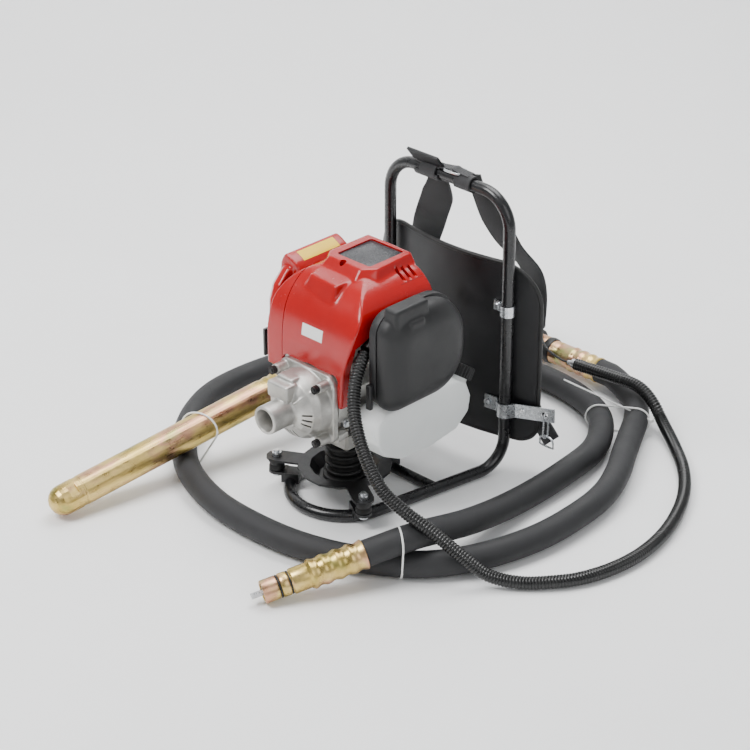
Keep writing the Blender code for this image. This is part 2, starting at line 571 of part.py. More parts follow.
def shrunk(outline, centre, by):
    """The outline drawn in towards a centre by an even amount along each axis."""
    out = []
    for x, y in outline:
        dx, dy = x - centre[0], y - centre[1]
        out.append((x - math.copysign(min(by, abs(dx)), dx), y - math.copysign(min(by, abs(dy)), dy)))
    return out


def build_covers():
    hood = add("top_cover", plate_mesh(HOOD_FRONT, 0.200, at_y(0.015)), RED, 0.25)
    boolean(hood, plate_mesh(HOOD_SIDE, 0.300, at_x(0)), "INTERSECT")
    inner_front = [(x, z if z > 0.19 else 0.150) for x, z in shrunk(HOOD_FRONT, (0, 0.24), 0.003)]
    inner_front[-2] = (0.045, 0.150)
    inner_front[-1] = (0.020, 0.150)
    inner = bpy.data.objects.new("inner", plate_mesh(inner_front, 0.200, at_y(0.015)))
    PARTS.objects.link(inner)
    inner_side = [(y, z if z > 0.2 else 0.140) for y, z in shrunk(HOOD_SIDE, (0.015, 0.24), 0.003)]
    boolean(inner, plate_mesh(inner_side, 0.300, at_x(0)), "INTERSECT")
    cut(hood, inner.data.copy())
    bpy.data.objects.remove(inner, do_unlink=True)
    side_gap = [(-0.048, 0.140), (-0.048, 0.252), (-0.008, 0.271), (0.030, 0.2865), (0.120, 0.2865), (0.120, 0.140)]
    cut(hood, plate_mesh(side_gap, 0.100, at_x(0.095)))
    cut(hood, box_mesh((-0.100, -0.030, 0.150), (-0.070, 0.062, 0.288)))
    cut(hood, box_mesh((-0.100, 0.040, 0.150), (0.110, 0.110, 0.2225)))
    cut(hood, rod_mesh((0, -0.080, CRANK_Z), (0, -0.020, CRANK_Z), 0.0502, 32))
    for x, z in lug_places():
        far = Vector((x * 1.06, 0, CRANK_Z + (z - CRANK_Z) * 1.06))
        cut(hood, rod_mesh(far + Vector((0, -0.08, 0)), far + Vector((0, -0.03, 0)), 0.0092, 14))
    outline = [(-0.0500, 0.2230), (-0.0480, 0.2750), (-0.0360, 0.3000), (-0.0140, 0.3150), (0.0200, 0.3190),
               (0.0700, 0.3170), (0.0820, 0.3000), (0.0840, 0.2230)]
    panel = add("side_cover", plate_mesh(outline, 0.0195, at_x(-0.08905)), RED, 0.25)
    hollow = [(y, z - 0.004 if z > 0.225 else z - 0.02) for y, z in shrunk(outline, (0.018, 0.223), 0.003)]
    cut(panel, plate_mesh(hollow, 0.0195, at_x(-0.0862)))
    guard = add("muffler_guard", box_mesh((-0.0985, -0.0480, 0.1850), (-0.0950, 0.0450, 0.2225)), BLACK, 0.6)
    for k in range(4):
        y = -0.030 + 0.018 * k
        cut(guard, box_mesh((-0.110, y, 0.193), (-0.090, y + 0.008, 0.215)))


def build_recoil():
    ring = [(0, -0.0860), (0.0460, -0.0860), (0.0500, -0.0820), (0.0500, -0.0480), (0.0470, -0.0480),
            (0.0470, -0.0825), (0.0060, -0.0825), (0.0060, -0.0500), (0, -0.0500)]
    shell = add("recoil_housing", turned_mesh(ring[::-1], crank_place(), 18), BLACK, 0.5)
    cut(shell, rod_mesh((-0.080, 0.0650, 0.185), (-0.035, 0.0650, 0.185), 0.0040, 10))
    wheel = [(0.0430, -0.0570), (0.0430, -0.0590), (0.0385, -0.0610), (0.0385, -0.0690), (0.0430, -0.0710),
             (0.0430, -0.0730), (0.0065, -0.0730), (0.0065, -0.0570)]
    add("recoil_pulley", turned_mesh(wheel, crank_place(), 16, closed=True), WHITE, 0.5)
    add("starter_grip", box_mesh((-0.0720, 0.0560, 0.1680), (-0.0580, 0.0740, 0.2020), 0.004, 2), BLACK, 0.5)


def build_intake():
    carb = add("carburettor", box_mesh((0.0420, -0.0080, 0.2220), (0.0862, 0.0350, 0.2620), 0.002), CAST, 0.4, 0.8)
    union(carb, rod_mesh((0.066, 0.0135, 0.2060), (0.066, 0.0135, 0.2300), 0.0150, 16))
    cut(carb, rod_mesh((0.030, 0.0135, 0.242), (0.100, 0.0135, 0.242), 0.0080, 12))
    cut(carb, rod_mesh((0.060, -0.0120, 0.232), (0.060, -0.0035, 0.232), 0.0090, 14))
    add("primer_bulb", turned_mesh([(0, 0.0140), (0.0050, 0.0125), (0.0085, 0.0080), (0.0085, 0), (0, 0)],
                                   Matrix.Translation((0.060, -0.0084, 0.232)) @ AXIS_FRONT, 12),
        (0.55, 0.57, 0.5), 0.3, alpha=0.6)
    lever = add("throttle_lever", box_mesh((0.0520, -0.0100, 0.2624), (0.0600, 0.0170, 0.2652)), STEEL, 0.4, 1.0)
    union(lever, rod_mesh((0.056, 0.012, 0.2624), (0.056, 0.012, 0.2690), 0.0035, 10))
    outline = rounded_box((-0.045, 0.173), (0.098, 0.305), (0.030, 0.045, 0.050, 0.028), 4)
    body = add("air_box", plate_mesh(outline, 0.0118, at_x(0.0940)), BLACK, 0.6)
    cut(body, rod_mesh((0.080, 0.0135, 0.242), (0.110, 0.0135, 0.242), 0.0090, 12))
    cover = add("air_cleaner_cover", plate_mesh(outline, 0.0300, at_x(0.1153)), BLACK, 0.55)
    inner = rounded_box((-0.0425, 0.1755), (0.0955, 0.3025), (0.0275, 0.0425, 0.0475, 0.0255), 4)
    cut(cover, plate_mesh(inner, 0.0400, at_x(0.1075)))
    add("air_filter", box_mesh((0.1006, -0.0250, 0.1950), (0.1200, 0.0780, 0.2830), 0.004), (0.2, 0.2, 0.2), 0.95)
    add("choke_lever", box_mesh((0.0890, -0.0515, 0.1780), (0.0970, -0.0456, 0.2120), 0.001), BLACK, 0.5)
    elbow = smooth_route([(0.0700, -0.0104, 0.2520), (0.0703, -0.0200, 0.2530), ELBOW_END], 0.007)
    add("cable_elbow", tube_mesh(elbow, 0.0080, 2), BLACK, 0.3)


def build_tank():
    lobe = [(-0.034, 0.118), (-0.022, 0.098), (0.010, 0.083), (0.060, 0.0805), (0.110, 0.088), (0.134, 0.107),
            (0.137, 0.130), (0.128, 0.150), (0.108, 0.160), (-0.020, 0.160), (-0.034, 0.145)]
    tank = add("fuel_tank", plate_mesh(lobe, 0.0450, at_x(0.0735)), WHITE, 0.35, alpha=0.85)
    rear = [(0.050, 0.0830), (0.110, 0.0895), (0.132, 0.1080), (0.135, 0.130), (0.126, 0.1460), (0.0895, 0.1460),
            (0.0895, 0.1040), (0.050, 0.1040)]
    union(tank, plate_mesh(rear, 0.1400, at_x(-0.0100)))
    union(tank, rod_mesh(NECK_FOOT, NECK_FOOT + NECK_AXIS * 0.031, 0.0130, 16))
    cut(tank, box_mesh((0.0540, -0.015, 0.0920), (0.0930, 0.118, 0.1560), 0.004))
    cut(tank, rod_mesh(NECK_FOOT - NECK_AXIS * 0.020, NECK_FOOT + NECK_AXIS * 0.040, 0.0100, 16))
    cap = [(0, 0.0370), (0.0160, 0.0370), (0.0180, 0.0350), (0.0180, 0.0200), (0.0136, 0.0200),
           (0.0136, 0.0320), (0, 0.0320)]
    add("fuel_cap", turned_mesh(cap, along(NECK_FOOT, NECK_AXIS), 14), BLACK, 0.5)
    oil = [(0, 0.0130), (0.0110, 0.0130), (0.0120, 0.0115), (0.0120, 0.0003), (0, 0.0003)]
    add("oil_cap", turned_mesh(oil, along((-0.0500, 0.005, 0.150), (-1, 0, 0)), 16), BLACK, 0.5)


def wavy(start, end, radius, waves, swell):
    """Profile points of a crimped sleeve, from its start to its end."""
    out = []
    count = waves * 2
    for k in range(count + 1):
        share = k / count
        out.append((radius + swell * math.cos(share * waves * 2 * math.pi), start + (end - start) * share))
    return out


def build_shaft_line():
    run = COUPLING_END - COUPLING_MOUTH
    length = run.length
    outer = [(0.0148, 0), (0.0148, 0.0200), (0.0138, 0.0210), (0.0138, 0.0230), (0.0152, 0.0240),
             (0.0152, 0.0340), (0.0142, 0.0350), (0.0142, 0.0370), (0.0162, 0.0390), (0.0162, 0.0600)]
    outer += wavy(0.0640, length, 0.0180, 4, 0.0008)
    ring = outer + [(0.0060, length), (0.0060, 0.0180), (0.0115, 0.0180), (0.0115, 0)]
    add("drive_coupling", turned_mesh(ring[::-1], along(COUPLING_MOUTH, run), 14, closed=True), GOLD, 0.3, 1.0)
    unit = run.normalized()
    core = add("drive_core", rod_mesh(COUPLING_MOUTH - unit * 0.014, COUPLING_MOUTH + unit * 0.020, 0.0042, 6),
               STEEL, 0.25, 1.0)
    union(core, rod_mesh(COUPLING_MOUTH + unit * 0.016, COUPLING_MOUTH + unit * (length - 0.004), 0.0045, 12))
    x0, x1 = UNION_X
    start = COUPLING_END + unit * GAP
    main = [start + unit * 0.016] + [Vector(p) for p in MAIN_ROUTE]
    last = Vector((x1 + GAP, UNION_Y, UNION_Z))
    main += [last + Vector((0.020, 0, 0))]
    add("main_hose", tube_mesh([start] + smooth_route(main, 0.065) + [last], HOSE_R, 2), RUBBER, 0.85)
    span = x1 - x0
    grip = [(0.0175, 0), (0.0175, 0.0600), (0.0168, 0.0610), (0.0168, 0.1050)]
    grip += wavy(0.1080, span, 0.0175, 3, 0.0007)
    union_profile = grip + [(0.0060, span), (0.0060, 0)]
    place = along((x0, UNION_Y, UNION_Z), (1, 0, 0))
    add("union_tube", turned_mesh(union_profile[::-1], place, 18, closed=True), GOLD, 0.3, 1.0)
    rear = POKER_TIP + POKER_DIR * (POKER_L + GAP)
    first = Vector((x0 - GAP, UNION_Y, UNION_Z))
    tail = [first - Vector((0.015, 0, 0))] + [Vector(p) for p in TAIL_ROUTE] + [rear + POKER_DIR * 0.020]
    add("tail_hose", tube_mesh([first] + smooth_route(tail, 0.045) + [rear], HOSE_R, 2), RUBBER, 0.85)


def build_poker():
    """Domed tip with two spanner flats, the long tube crimped at its rear, and the eccentric weight inside."""
    place = along(POKER_TIP, POKER_DIR)
    dome = [(POKER_R * math.sin(a), POKER_R * (1 - math.cos(a))) for a in (math.radians(15 * k) for k in range(7))]
    profile = dome + [(POKER_R, 0.0400), (0.0197, 0.0406), (0.0197, POKER_SEAM), (0, POKER_SEAM)]
    tip = add("poker_tip", turned_mesh(profile[::-1], place, 32), GOLD, 0.35, 1.0)
    for side in (-1, 1):
        flat = box_mesh((-0.03, side * 0.0285 - 0.0105, 0.0255), (0.03, side * 0.0285 + 0.0105, 0.0375))
        flat.transform(place @ Matrix.Rotation(math.radians(35), 4, "Z"))
        cut(tip, flat)
    tube = [(0.0197, POKER_SEAM + GAP), (0.0197, 0.0470), (POKER_R, 0.0480), (POKER_R, POKER_L - 0.0300)]
    tube += wavy(POKER_L - 0.0270, POKER_L - 0.0030, 0.0196, 2, 0.0006)
    tube += [(0.0188, POKER_L), (0.0160, POKER_L), (0.0160, POKER_SEAM + GAP)]
    add("poker_tube", turned_mesh(tube[::-1], place, 40, closed=True), GOLD, 0.35, 1.0)
    rotor = [(0, 0.0600), (0.0060, 0.0600), (0.0060, 0.0800), (0.0135, 0.0800), (0.0135, 0.2700),
             (0.0060, 0.2700), (0.0060, 0.2950), (0, 0.2950)]
    bar = add("eccentric_rotor", turned_mesh(rotor[::-1], place, 16), STEEL, 0.35, 1.0)
    half = box_mesh((0.0020, -0.03, 0.0850), (0.03, 0.03, 0.2650))
    half.transform(place)
    cut(bar, half)


def build_handle():
    clamp = [(0.0232, -0.0950), (0.0232, -0.0700), (0.0182, -0.0700), (0.0182, -0.0950)]
    place = along((0, UNION_Y, UNION_Z), (1, 0, 0))
    body = add("throttle_handle", turned_mesh(clamp[::-1], place, 18, closed=True), BLACK, 0.5)
    low = (HANDLE_X[0], UNION_Y - 0.0115, HANDLE_Z[0])
    high = (HANDLE_X[1], UNION_Y + 0.0115, HANDLE_Z[1])
    union(body, box_mesh((-0.0940, UNION_Y - 0.009, 0.0440), (-0.0710, UNION_Y + 0.009, 0.0500)))
    union(body, box_mesh(low, high, 0.004, 2))
    cut(body, box_mesh((HANDLE_X[0] + 0.006, UNION_Y - 0.0078, 0.0540), (-0.0800, UNION_Y + 0.0078, 0.0800)))
    cut(body, box_mesh((-0.0770, UNION_Y - 0.0045, 0.0660), (-0.0670, UNION_Y + 0.0045, 0.0800)))
    bar = box_mesh((-0.0620, -0.0070, -0.0030), (0.0035, 0.0070, 0.0025), 0.001)
    bar.transform(Matrix.Rotation(TRIGGER_REST, 4, "Y"))
    trigger = add("throttle_trigger", bar, BLACK, 0.4)
    trigger.location = TRIGGER_PIVOT
    switch = (-0.0765, UNION_Y - 0.0040, 0.0664)
    add("stop_switch", box_mesh(switch, (-0.0715, UNION_Y + 0.0040, 0.0740)), (0.6, 0.03, 0.02), 0.4)


def build_cords():
    start = ELBOW_END + Vector((0.0004, -0.0028, -0.0018))
    conduit = [start] + [Vector(p) for p in CONDUIT_ROUTE] + [Vector(CONDUIT_END)]
    add("throttle_conduit", tube_mesh(smooth_route(conduit, 0.034), CONDUIT_R, 2), BLACK, 0.6)


def place_origins():
    """Put each moving part's origin on its joint axis, then move all to the row's origin."""
    for obj in PARTS.objects:
        pivot = Vector(PIVOTS.get(obj.name, obj.location))
        obj.data.transform(Matrix.Translation(obj.location - pivot))
        obj.location = pivot + FRAME_SHIFT


build_frame()
build_board()
build_clips()
build_harness()
build_mount()
build_crankcase()
build_housing()
build_spinning()
build_cylinder()
build_covers()
build_recoil()
build_intake()
build_tank()
build_shaft_line()
build_poker()
build_handle()
build_cords()
place_origins()
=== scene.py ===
"""Looks for the backpack concrete vibrator: every visible surface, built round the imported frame."""
import math

import bmesh
import bpy
from mathutils import Matrix, Vector, noise
from mathutils.bvhtree import BVHTree


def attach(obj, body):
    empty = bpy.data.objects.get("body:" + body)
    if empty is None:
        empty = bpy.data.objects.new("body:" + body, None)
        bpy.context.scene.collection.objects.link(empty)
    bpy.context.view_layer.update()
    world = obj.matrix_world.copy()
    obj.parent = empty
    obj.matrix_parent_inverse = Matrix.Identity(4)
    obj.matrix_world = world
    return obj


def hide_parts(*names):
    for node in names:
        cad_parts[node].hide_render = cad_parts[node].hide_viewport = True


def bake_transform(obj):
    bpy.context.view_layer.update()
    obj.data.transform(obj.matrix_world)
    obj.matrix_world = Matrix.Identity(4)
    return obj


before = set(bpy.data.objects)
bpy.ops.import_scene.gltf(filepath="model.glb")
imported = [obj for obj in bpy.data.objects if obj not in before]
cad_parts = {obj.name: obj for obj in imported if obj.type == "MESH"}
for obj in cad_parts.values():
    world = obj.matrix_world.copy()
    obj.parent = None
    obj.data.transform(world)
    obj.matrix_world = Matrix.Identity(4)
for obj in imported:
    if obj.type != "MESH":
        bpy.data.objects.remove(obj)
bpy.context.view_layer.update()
ROOT = "machine"

# Pieces are laid out from the crankshaft, as the CAD source is; the row's origin lies this far from it.
SHIFT = Vector((0, -0.058, 0))
CRANK_Z = 0.162
BOLT_HALF = 0.038
LABEL_T, LABEL_REACH = 0.0003, 0.02


# ---------------------------------------------------------------- meshes

def link(name, mesh, mat, body=ROOT, replaces=(), sharp=35):
    """Add a piece from a mesh laid out from the crankshaft, give it its material and its body."""
    obj = bpy.data.objects.new(name, mesh)
    bpy.context.scene.collection.objects.link(obj)
    mesh.transform(Matrix.Translation(SHIFT))
    mesh.materials.clear()
    mesh.materials.append(mat)
    mesh.shade_smooth()
    mesh.set_sharp_from_angle(angle=math.radians(sharp))
    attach(obj, body)
    if replaces:
        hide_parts(*replaces)
    return obj


def to_mesh(bm):
    mesh = bpy.data.meshes.new("mesh")
    bmesh.ops.recalc_face_normals(bm, faces=bm.faces[:])
    bm.to_mesh(mesh)
    bm.free()
    return mesh


def joined(meshes):
    """Several meshes as one, each kept as its own shell."""
    bm = bmesh.new()
    for mesh in meshes:
        bm.from_mesh(mesh)
    return to_mesh(bm)


def along(start, direction):
    """Matrix that puts local Z along a direction from a start point."""
    turn = Vector(direction).to_track_quat("Z", "Y").to_matrix().to_4x4()
    return Matrix.Translation(Vector(start)) @ turn


def circle(count):
    """Cosine and sine of evenly spaced angles, once round."""
    turns = (2 * math.pi * k / count for k in range(count))
    return [(math.cos(turn), math.sin(turn)) for turn in turns]


def route(points, spacing):
    """Points at an even spacing on a Catmull-Rom curve through the given ones."""
    knots = [Vector(p) for p in points]
    ends = [2 * knots[0] - knots[1]] + knots + [2 * knots[-1] - knots[-2]]
    fine = []
    for p0, p1, p2, p3 in zip(ends, ends[1:], ends[2:], ends[3:]):
        for k in range(24):
            t = k / 24
            fine.append(0.5 * (2 * p1 + (p2 - p0) * t + (2 * p0 - 5 * p1 + 4 * p2 - p3) * t * t
                               + (3 * p1 - p0 - 3 * p2 + p3) * t ** 3))
    fine.append(knots[-1])
    total = length_of(fine)
    count = max(2, round(total / spacing))
    step = total / count
    gone, out, want = 0.0, [fine[0]], step
    for a, b in zip(fine, fine[1:]):
        length = (b - a).length
        while gone + length >= want - 1e-9 and len(out) < count:
            out.append(a.lerp(b, (want - gone) / length))
            want += step
        gone += length
    out.append(fine[-1])
    return out


def length_of(points):
    return sum((b - a).length for a, b in zip(points, points[1:]))


def frames_along(points):
    """Two cross directions at each point, carried along without twisting."""
    tangents = [(b - a).normalized() for a, b in zip(points[:1] + points, points[1:] + points[-1:])]
    side = tangents[0].orthogonal().normalized()
    out = []
    for tangent in tangents:
        side = (side - tangent * side.dot(tangent)).normalized()
        out.append((side, tangent.cross(side)))
    return out


def skin(bm, rings, ends=True):
    """Faces between rings of vertices, and over the first and the last ring."""
    count = len(rings[0])
    for a, b in zip(rings, rings[1:]):
        for k in range(count):
            after = (k + 1) % count
            bm.faces.new((a[k], a[after], b[after], b[k]))
    if ends:
        bm.faces.new(rings[0][::-1])
        bm.faces.new(rings[-1])


def lofted(sections, matrix=Matrix.Identity(4)):
    """A solid through closed outlines that have the same number of points."""
    bm = bmesh.new()
    skin(bm, [[bm.verts.new(point) for point in section] for section in sections])
    bmesh.ops.transform(bm, matrix=matrix, verts=bm.verts)
    return to_mesh(bm)


def tube(points, radius, sides=16):
    """A tube with UVs in metres, U round it and V along it. The radius may be a function of the way along."""
    bm = bmesh.new()
    uv = bm.loops.layers.uv.new("UVMap")
    gone, rings, marks = 0.0, [], []
    for k, (point, (a, b)) in enumerate(zip(points, frames_along(points))):
        if k:
            gone += (point - points[k - 1]).length
        r = radius(gone) if callable(radius) else radius
        rings.append([bm.verts.new(point + a * r * c + b * r * s) for c, s in circle(sides)])
        marks.append(gone)
    girth = 2 * math.pi * (radius(0) if callable(radius) else radius)
    for k in range(len(rings) - 1):
        for s in range(sides):
            t = (s + 1) % sides
            face = bm.faces.new((rings[k][s], rings[k][t], rings[k + 1][t], rings[k + 1][s]))
            corners = ((s, k), (s + 1, k), (s + 1, k + 1), (s, k + 1))
            for loop, (u, v) in zip(face.loops, corners):
                loop[uv].uv = (girth * u / sides, marks[v])
    bm.faces.new(rings[0][::-1])
    bm.faces.new(rings[-1])
    return to_mesh(bm)


def ring_tube(points, radius, sides=10):
    """A closed loop of wire or tube."""
    bm = bmesh.new()
    count = len(points)
    rings = []
    for k, point in enumerate(points):
        tangent = (points[(k + 1) % count] - points[k - 1]).normalized()
        side = tangent.cross(Vector((0.31, 0.22, 0.92))).normalized()
        up = tangent.cross(side)
        rings.append([bm.verts.new(point + side * radius * c + up * radius * s) for c, s in circle(sides)])
    skin(bm, rings + rings[:1], ends=False)
    return to_mesh(bm)


def lathe(profile, matrix=Matrix.Identity(4), steps=48):
    """Profile of (radius, height) turned about local Z. Points at radius 0 close it."""
    bm = bmesh.new()
    rings = []
    for r, z in profile:
        spots = [(r * c, r * s, z) for c, s in circle(steps)] if r > 1e-7 else [(0, 0, z)]
        rings.append([bm.verts.new(spot) for spot in spots])
    for a, b in zip(rings, rings[1:]):
        for s in range(steps):
            t = (s + 1) % steps
            if len(a) == 1 and len(b) == 1:
                continue
            if len(a) == 1:
                bm.faces.new((a[0], b[t], b[s]))
            elif len(b) == 1:
                bm.faces.new((a[s], a[t], b[0]))
            else:
                bm.faces.new((a[s], a[t], b[t], b[s]))
    bmesh.ops.transform(bm, matrix=matrix, verts=bm.verts)
    return to_mesh(bm)


def soft_profile(profile, cut=0.0006):
    """The profile with each corner replaced by two points, so that edges catch the light."""
    out = [profile[0]]
    for before, corner, after in zip(profile, profile[1:], profile[2:]):
        here = Vector(corner)
        for other in (before, after):
            reach = Vector(other) - here
            out.append(tuple(here + reach * min(0.45, cut / max(reach.length, 1e-9))))
    out.append(profile[-1])
    return out


def block(low, high, bevel=0.0, segments=3):
    bm = bmesh.new()
    bmesh.ops.create_cube(bm, size=1)
    bmesh.ops.scale(bm, vec=[h - l for l, h in zip(low, high)], verts=bm.verts)
    bmesh.ops.translate(bm, vec=[(h + l) / 2 for l, h in zip(low, high)], verts=bm.verts)
    if bevel:
        bmesh.ops.bevel(bm, geom=bm.edges[:], offset=bevel, segments=segments, affect="EDGES", profile=0.5)
    return to_mesh(bm)


def rod(start, end, radius, sides=24, bevel=0.0):
    run = Vector(end) - Vector(start)
    profile = [(0, 0), (radius, 0), (radius, run.length), (0, run.length)]
    if bevel:
        profile = [(0, 0), (radius - bevel, 0), (radius, bevel), (radius, run.length - bevel),
                   (radius - bevel, run.length), (0, run.length)]
    return lathe(profile, along(start, run), sides)


def frustum(low_outline, high_outline, low, high, matrix=Matrix.Identity(4)):
    """A block with one outline at its foot and another at its top."""
    return lofted([[(x, y, low) for x, y in low_outline], [(x, y, high) for x, y in high_outline]], matrix)


def prism(outline, low, high, matrix=Matrix.Identity(4)):
    """An outline extruded from low to high along local Z."""
    return frustum(outline, outline, low, high, matrix)


ON_YZ = Matrix(((0, 0, 1, 0), (1, 0, 0, 0), (0, 1, 0, 0), (0, 0, 0, 1)))
ON_XZ = Matrix(((1, 0, 0, 0), (0, 0, -1, 0), (0, 1, 0, 0), (0, 0, 0, 1)))
CRANK = Matrix.Translation((0, 0, CRANK_Z)) @ Matrix.Rotation(math.radians(90), 4, "X")


def bolt_rods(near, far, radius, sides, spread=1.0):
    """A rod on each clutch housing bolt's line, or on lines further out along the diagonals."""
    reach = BOLT_HALF * spread
    spots = [(x * reach, CRANK_Z + z * reach) for x in (-1, 1) for z in (-1, 1)]
    return [rod((x, -far, z), (x, -near, z), radius, sides) for x, z in spots]


def arc(centre, radius, start, end, count):
    turns = [math.radians(start + (end - start) * k / count) for k in range(count + 1)]
    return [(centre[0] + radius * math.cos(a), centre[1] + radius * math.sin(a)) for a in turns]


def rounded(low, high, radii, count=8):
    """Outline of a rectangle, with a radius for each corner: low-low, high-low, high-high, low-high."""
    (x0, y0), (x1, y1) = low, high
    a, b, c, d = radii
    return (arc((x0 + a, y0 + a), a, 180, 270, count) + arc((x1 - b, y0 + b), b, 270, 360, count)
            + arc((x1 - c, y1 - c), c, 0, 90, count) + arc((x0 + d, y1 - d), d, 90, 180, count))


def scaled(outline, centre, across, up):
    """The outline drawn in towards a centre by its two shares."""
    return [(centre[0] + (a - centre[0]) * across, centre[1] + (b - centre[1]) * up) for a, b in outline]


def evaluated(mesh, *steps):
    """The mesh after a stack of modifiers, each given as (type, settings)."""
    obj = bpy.data.objects.new("work", mesh)
    bpy.context.scene.collection.objects.link(obj)
    for kind, settings in steps:
        modifier = obj.modifiers.new(kind.title(), kind)
        for key, value in settings.items():
            setattr(modifier, key, value)
    bpy.context.view_layer.update()
    made = bpy.data.meshes.new_from_object(obj.evaluated_get(bpy.context.evaluated_depsgraph_get()))
    bpy.data.objects.remove(obj, do_unlink=True)
    return made


def combined(mesh, other, operation):
    """The mesh with another one added to it, cut from it or kept where they meet."""
    tool = bpy.data.objects.new("tool", other)
    bpy.context.scene.collection.objects.link(tool)
    made = evaluated(mesh, ("BOOLEAN", {"operation": operation, "solver": "EXACT", "object": tool}))
    bpy.data.objects.remove(tool, do_unlink=True)
    return made


def minus(mesh, *others):
    for other in others:
        mesh = combined(mesh, other, "DIFFERENCE")
    return mesh


def melted(meshes, voxel, smooth):
    """Several closed shells run together with soft fillets, as in a casting or a moulding."""
    return evaluated(joined(meshes),
                     ("REMESH", {"mode": "VOXEL", "voxel_size": voxel, "adaptivity": 0.0}),
                     ("SMOOTH", {"factor": 0.5, "iterations": smooth}))


def decal(name, placed, centre, outward, along_axis, length, height, mat):
    """A thin blank label laid on the surface of a mesh that is already in the shared frame."""
    tree = BVHTree.FromPolygons([v.co.copy() for v in placed.vertices],
                                [tuple(p.vertices) for p in placed.polygons])
    outward = Vector(outward).normalized()
    side = (Vector(along_axis) - outward * outward.dot(Vector(along_axis))).normalized()
    up = outward.cross(side)
    bm = bmesh.new()
    columns, rows, grid = 24, 10, []
    for i in range(columns + 1):
        line = []
        for j in range(rows + 1):
            spot = centre + SHIFT + side * length * (i / columns - 0.5) + up * height * (j / rows - 0.5)
            hit, normal = tree.ray_cast(spot + outward * LABEL_REACH, -outward)[:2]
            line.append(bm.verts.new((hit + normal * LABEL_T if hit else spot) - SHIFT))
        grid.append(line)
    for i in range(columns):
        for j in range(rows):
            bm.faces.new((grid[i][j], grid[i + 1][j], grid[i + 1][j + 1], grid[i][j + 1]))
    return link(name, to_mesh(bm), mat)


# ---------------------------------------------------------------- materials

class Paint:
    """A material while it is built: its node tree, its shader, and the nodes that these finishes use."""

    def __init__(self, name):
        self.mat = bpy.data.materials.new(name)
        self.mat.use_nodes = True
        self.tree = self.mat.node_tree
        self.shader = self.tree.nodes["Principled BSDF"]
        coord = self.node("TexCoord", {})
        self.place, self.uv = coord.outputs["Object"], coord.outputs["UV"]

    def feed(self, node, sockets):
        """Set sockets to constants, or link them where the value is another node's output."""
        for key, value in sockets.items():
            if isinstance(value, bpy.types.NodeSocket):
                self.tree.links.new(value, node.inputs[key])
            else:
                node.inputs[key].default_value = value

    def node(self, kind, sockets, **settings):
        made = self.tree.nodes.new("ShaderNode" + kind)
        for key, value in settings.items():
            setattr(made, key, value)
        self.feed(made, sockets)
        return made

    def noise(self, scale, detail=4.0, rough=0.55):
        sockets = {"Scale": scale, "Detail": detail, "Roughness": rough, "Vector": self.place}
        return self.node("TexNoise", sockets).outputs["Fac"]

    def wave(self, direction, profile, scale, distortion):
        made = self.node("TexWave", {"Scale": scale, "Distortion": distortion, "Vector": self.uv},
                         wave_type="BANDS", bands_direction=direction, wave_profile=profile)
        return made.outputs["Fac"]

    def ramp(self, value, stops):
        """Colour ramp with (position, colour) stops."""
        made = self.node("ValToRGB", {"Fac": value})
        band = made.color_ramp
        while len(band.elements) < len(stops):
            band.elements.new(0.5)
        for element, (position, color) in zip(band.elements, stops):
            element.position = position
            element.color = (*color, 1)
        return made.outputs["Color"]

    def spread(self, value, low, high):
        """Stretch the middle of a noise from low to high."""
        sockets = {"From Min": 0.3, "From Max": 0.7, "To Min": low, "To Max": high, "Value": value}
        return self.node("MapRange", sockets).outputs["Result"]

    def bump(self, height, distance, strength=1.0, below=None):
        sockets = {"Distance": distance, "Strength": strength, "Height": height}
        if below is not None:
            sockets["Normal"] = below
        return self.node("Bump", sockets).outputs["Normal"]

    def finished(self, sockets):
        self.feed(self.shader, sockets)
        return self.mat


def finish(name, dark, light, rough, metal=0.0, patch=18.0, grain=900.0, grain_depth=0.00004,
           grain_strength=0.5, wave_depth=0.0, coat=0.0, coat_rough=0.08, subsurface=0.0, transmission=0.0,
           ior=1.5):
    """A solid finish: patchy colour and roughness, a fine grain, and an optional slow waviness."""
    paint = Paint(name)
    tint = paint.ramp(paint.noise(patch, 6.0, 0.6), [(0.3, dark), (0.7, light)])
    marks = paint.noise(patch * 5, 5.0, 0.65)
    normal = paint.bump(paint.noise(grain, 3.0, 0.6), grain_depth, grain_strength)
    if wave_depth:
        normal = paint.bump(paint.noise(45.0, 2.0, 0.5), wave_depth, 0.5, normal)
    return paint.finished({"Base Color": tint, "Roughness": paint.spread(marks, *rough), "Normal": normal,
                           "Metallic": metal, "Coat Weight": coat, "Coat Roughness": coat_rough, "IOR": ior,
                           "Subsurface Weight": subsurface, "Subsurface Radius": (0.01, 0.01, 0.01),
                           "Subsurface Scale": 1.0, "Transmission Weight": transmission})


def zinc_gold(name, stretch=(1, 1, 1)):
    """Yellow passivated zinc: gold with drifting green, violet and pink, over turned steel."""
    paint = Paint(name)
    paint.place = paint.node("Mapping", {"Scale": stretch, "Vector": paint.place}).outputs["Vector"]
    tint = paint.ramp(paint.noise(16.0, 3.0, 0.55), [
        (0.3, (0.34, 0.33, 0.1)), (0.42, (0.6, 0.44, 0.13)), (0.52, (0.72, 0.53, 0.2)),
        (0.6, (0.62, 0.34, 0.22)), (0.7, (0.42, 0.44, 0.16))])
    stains = paint.noise(60.0, 6.0, 0.7)
    shade = paint.ramp(stains, [(0.28, (0.45, 0.42, 0.38)), (0.55, (1, 1, 1))])
    blend = paint.node("Mix", {}, data_type="RGBA", blend_type="MULTIPLY")
    paint.feed(blend, {0: 0.7, 6: tint, 7: shade})
    normal = paint.bump(paint.noise(700.0, 3.0, 0.6), 0.00003, 0.5)
    return paint.finished({"Base Color": blend.outputs[2], "Roughness": paint.spread(stains, 0.22, 0.42),
                           "Normal": normal, "Metallic": 1.0})


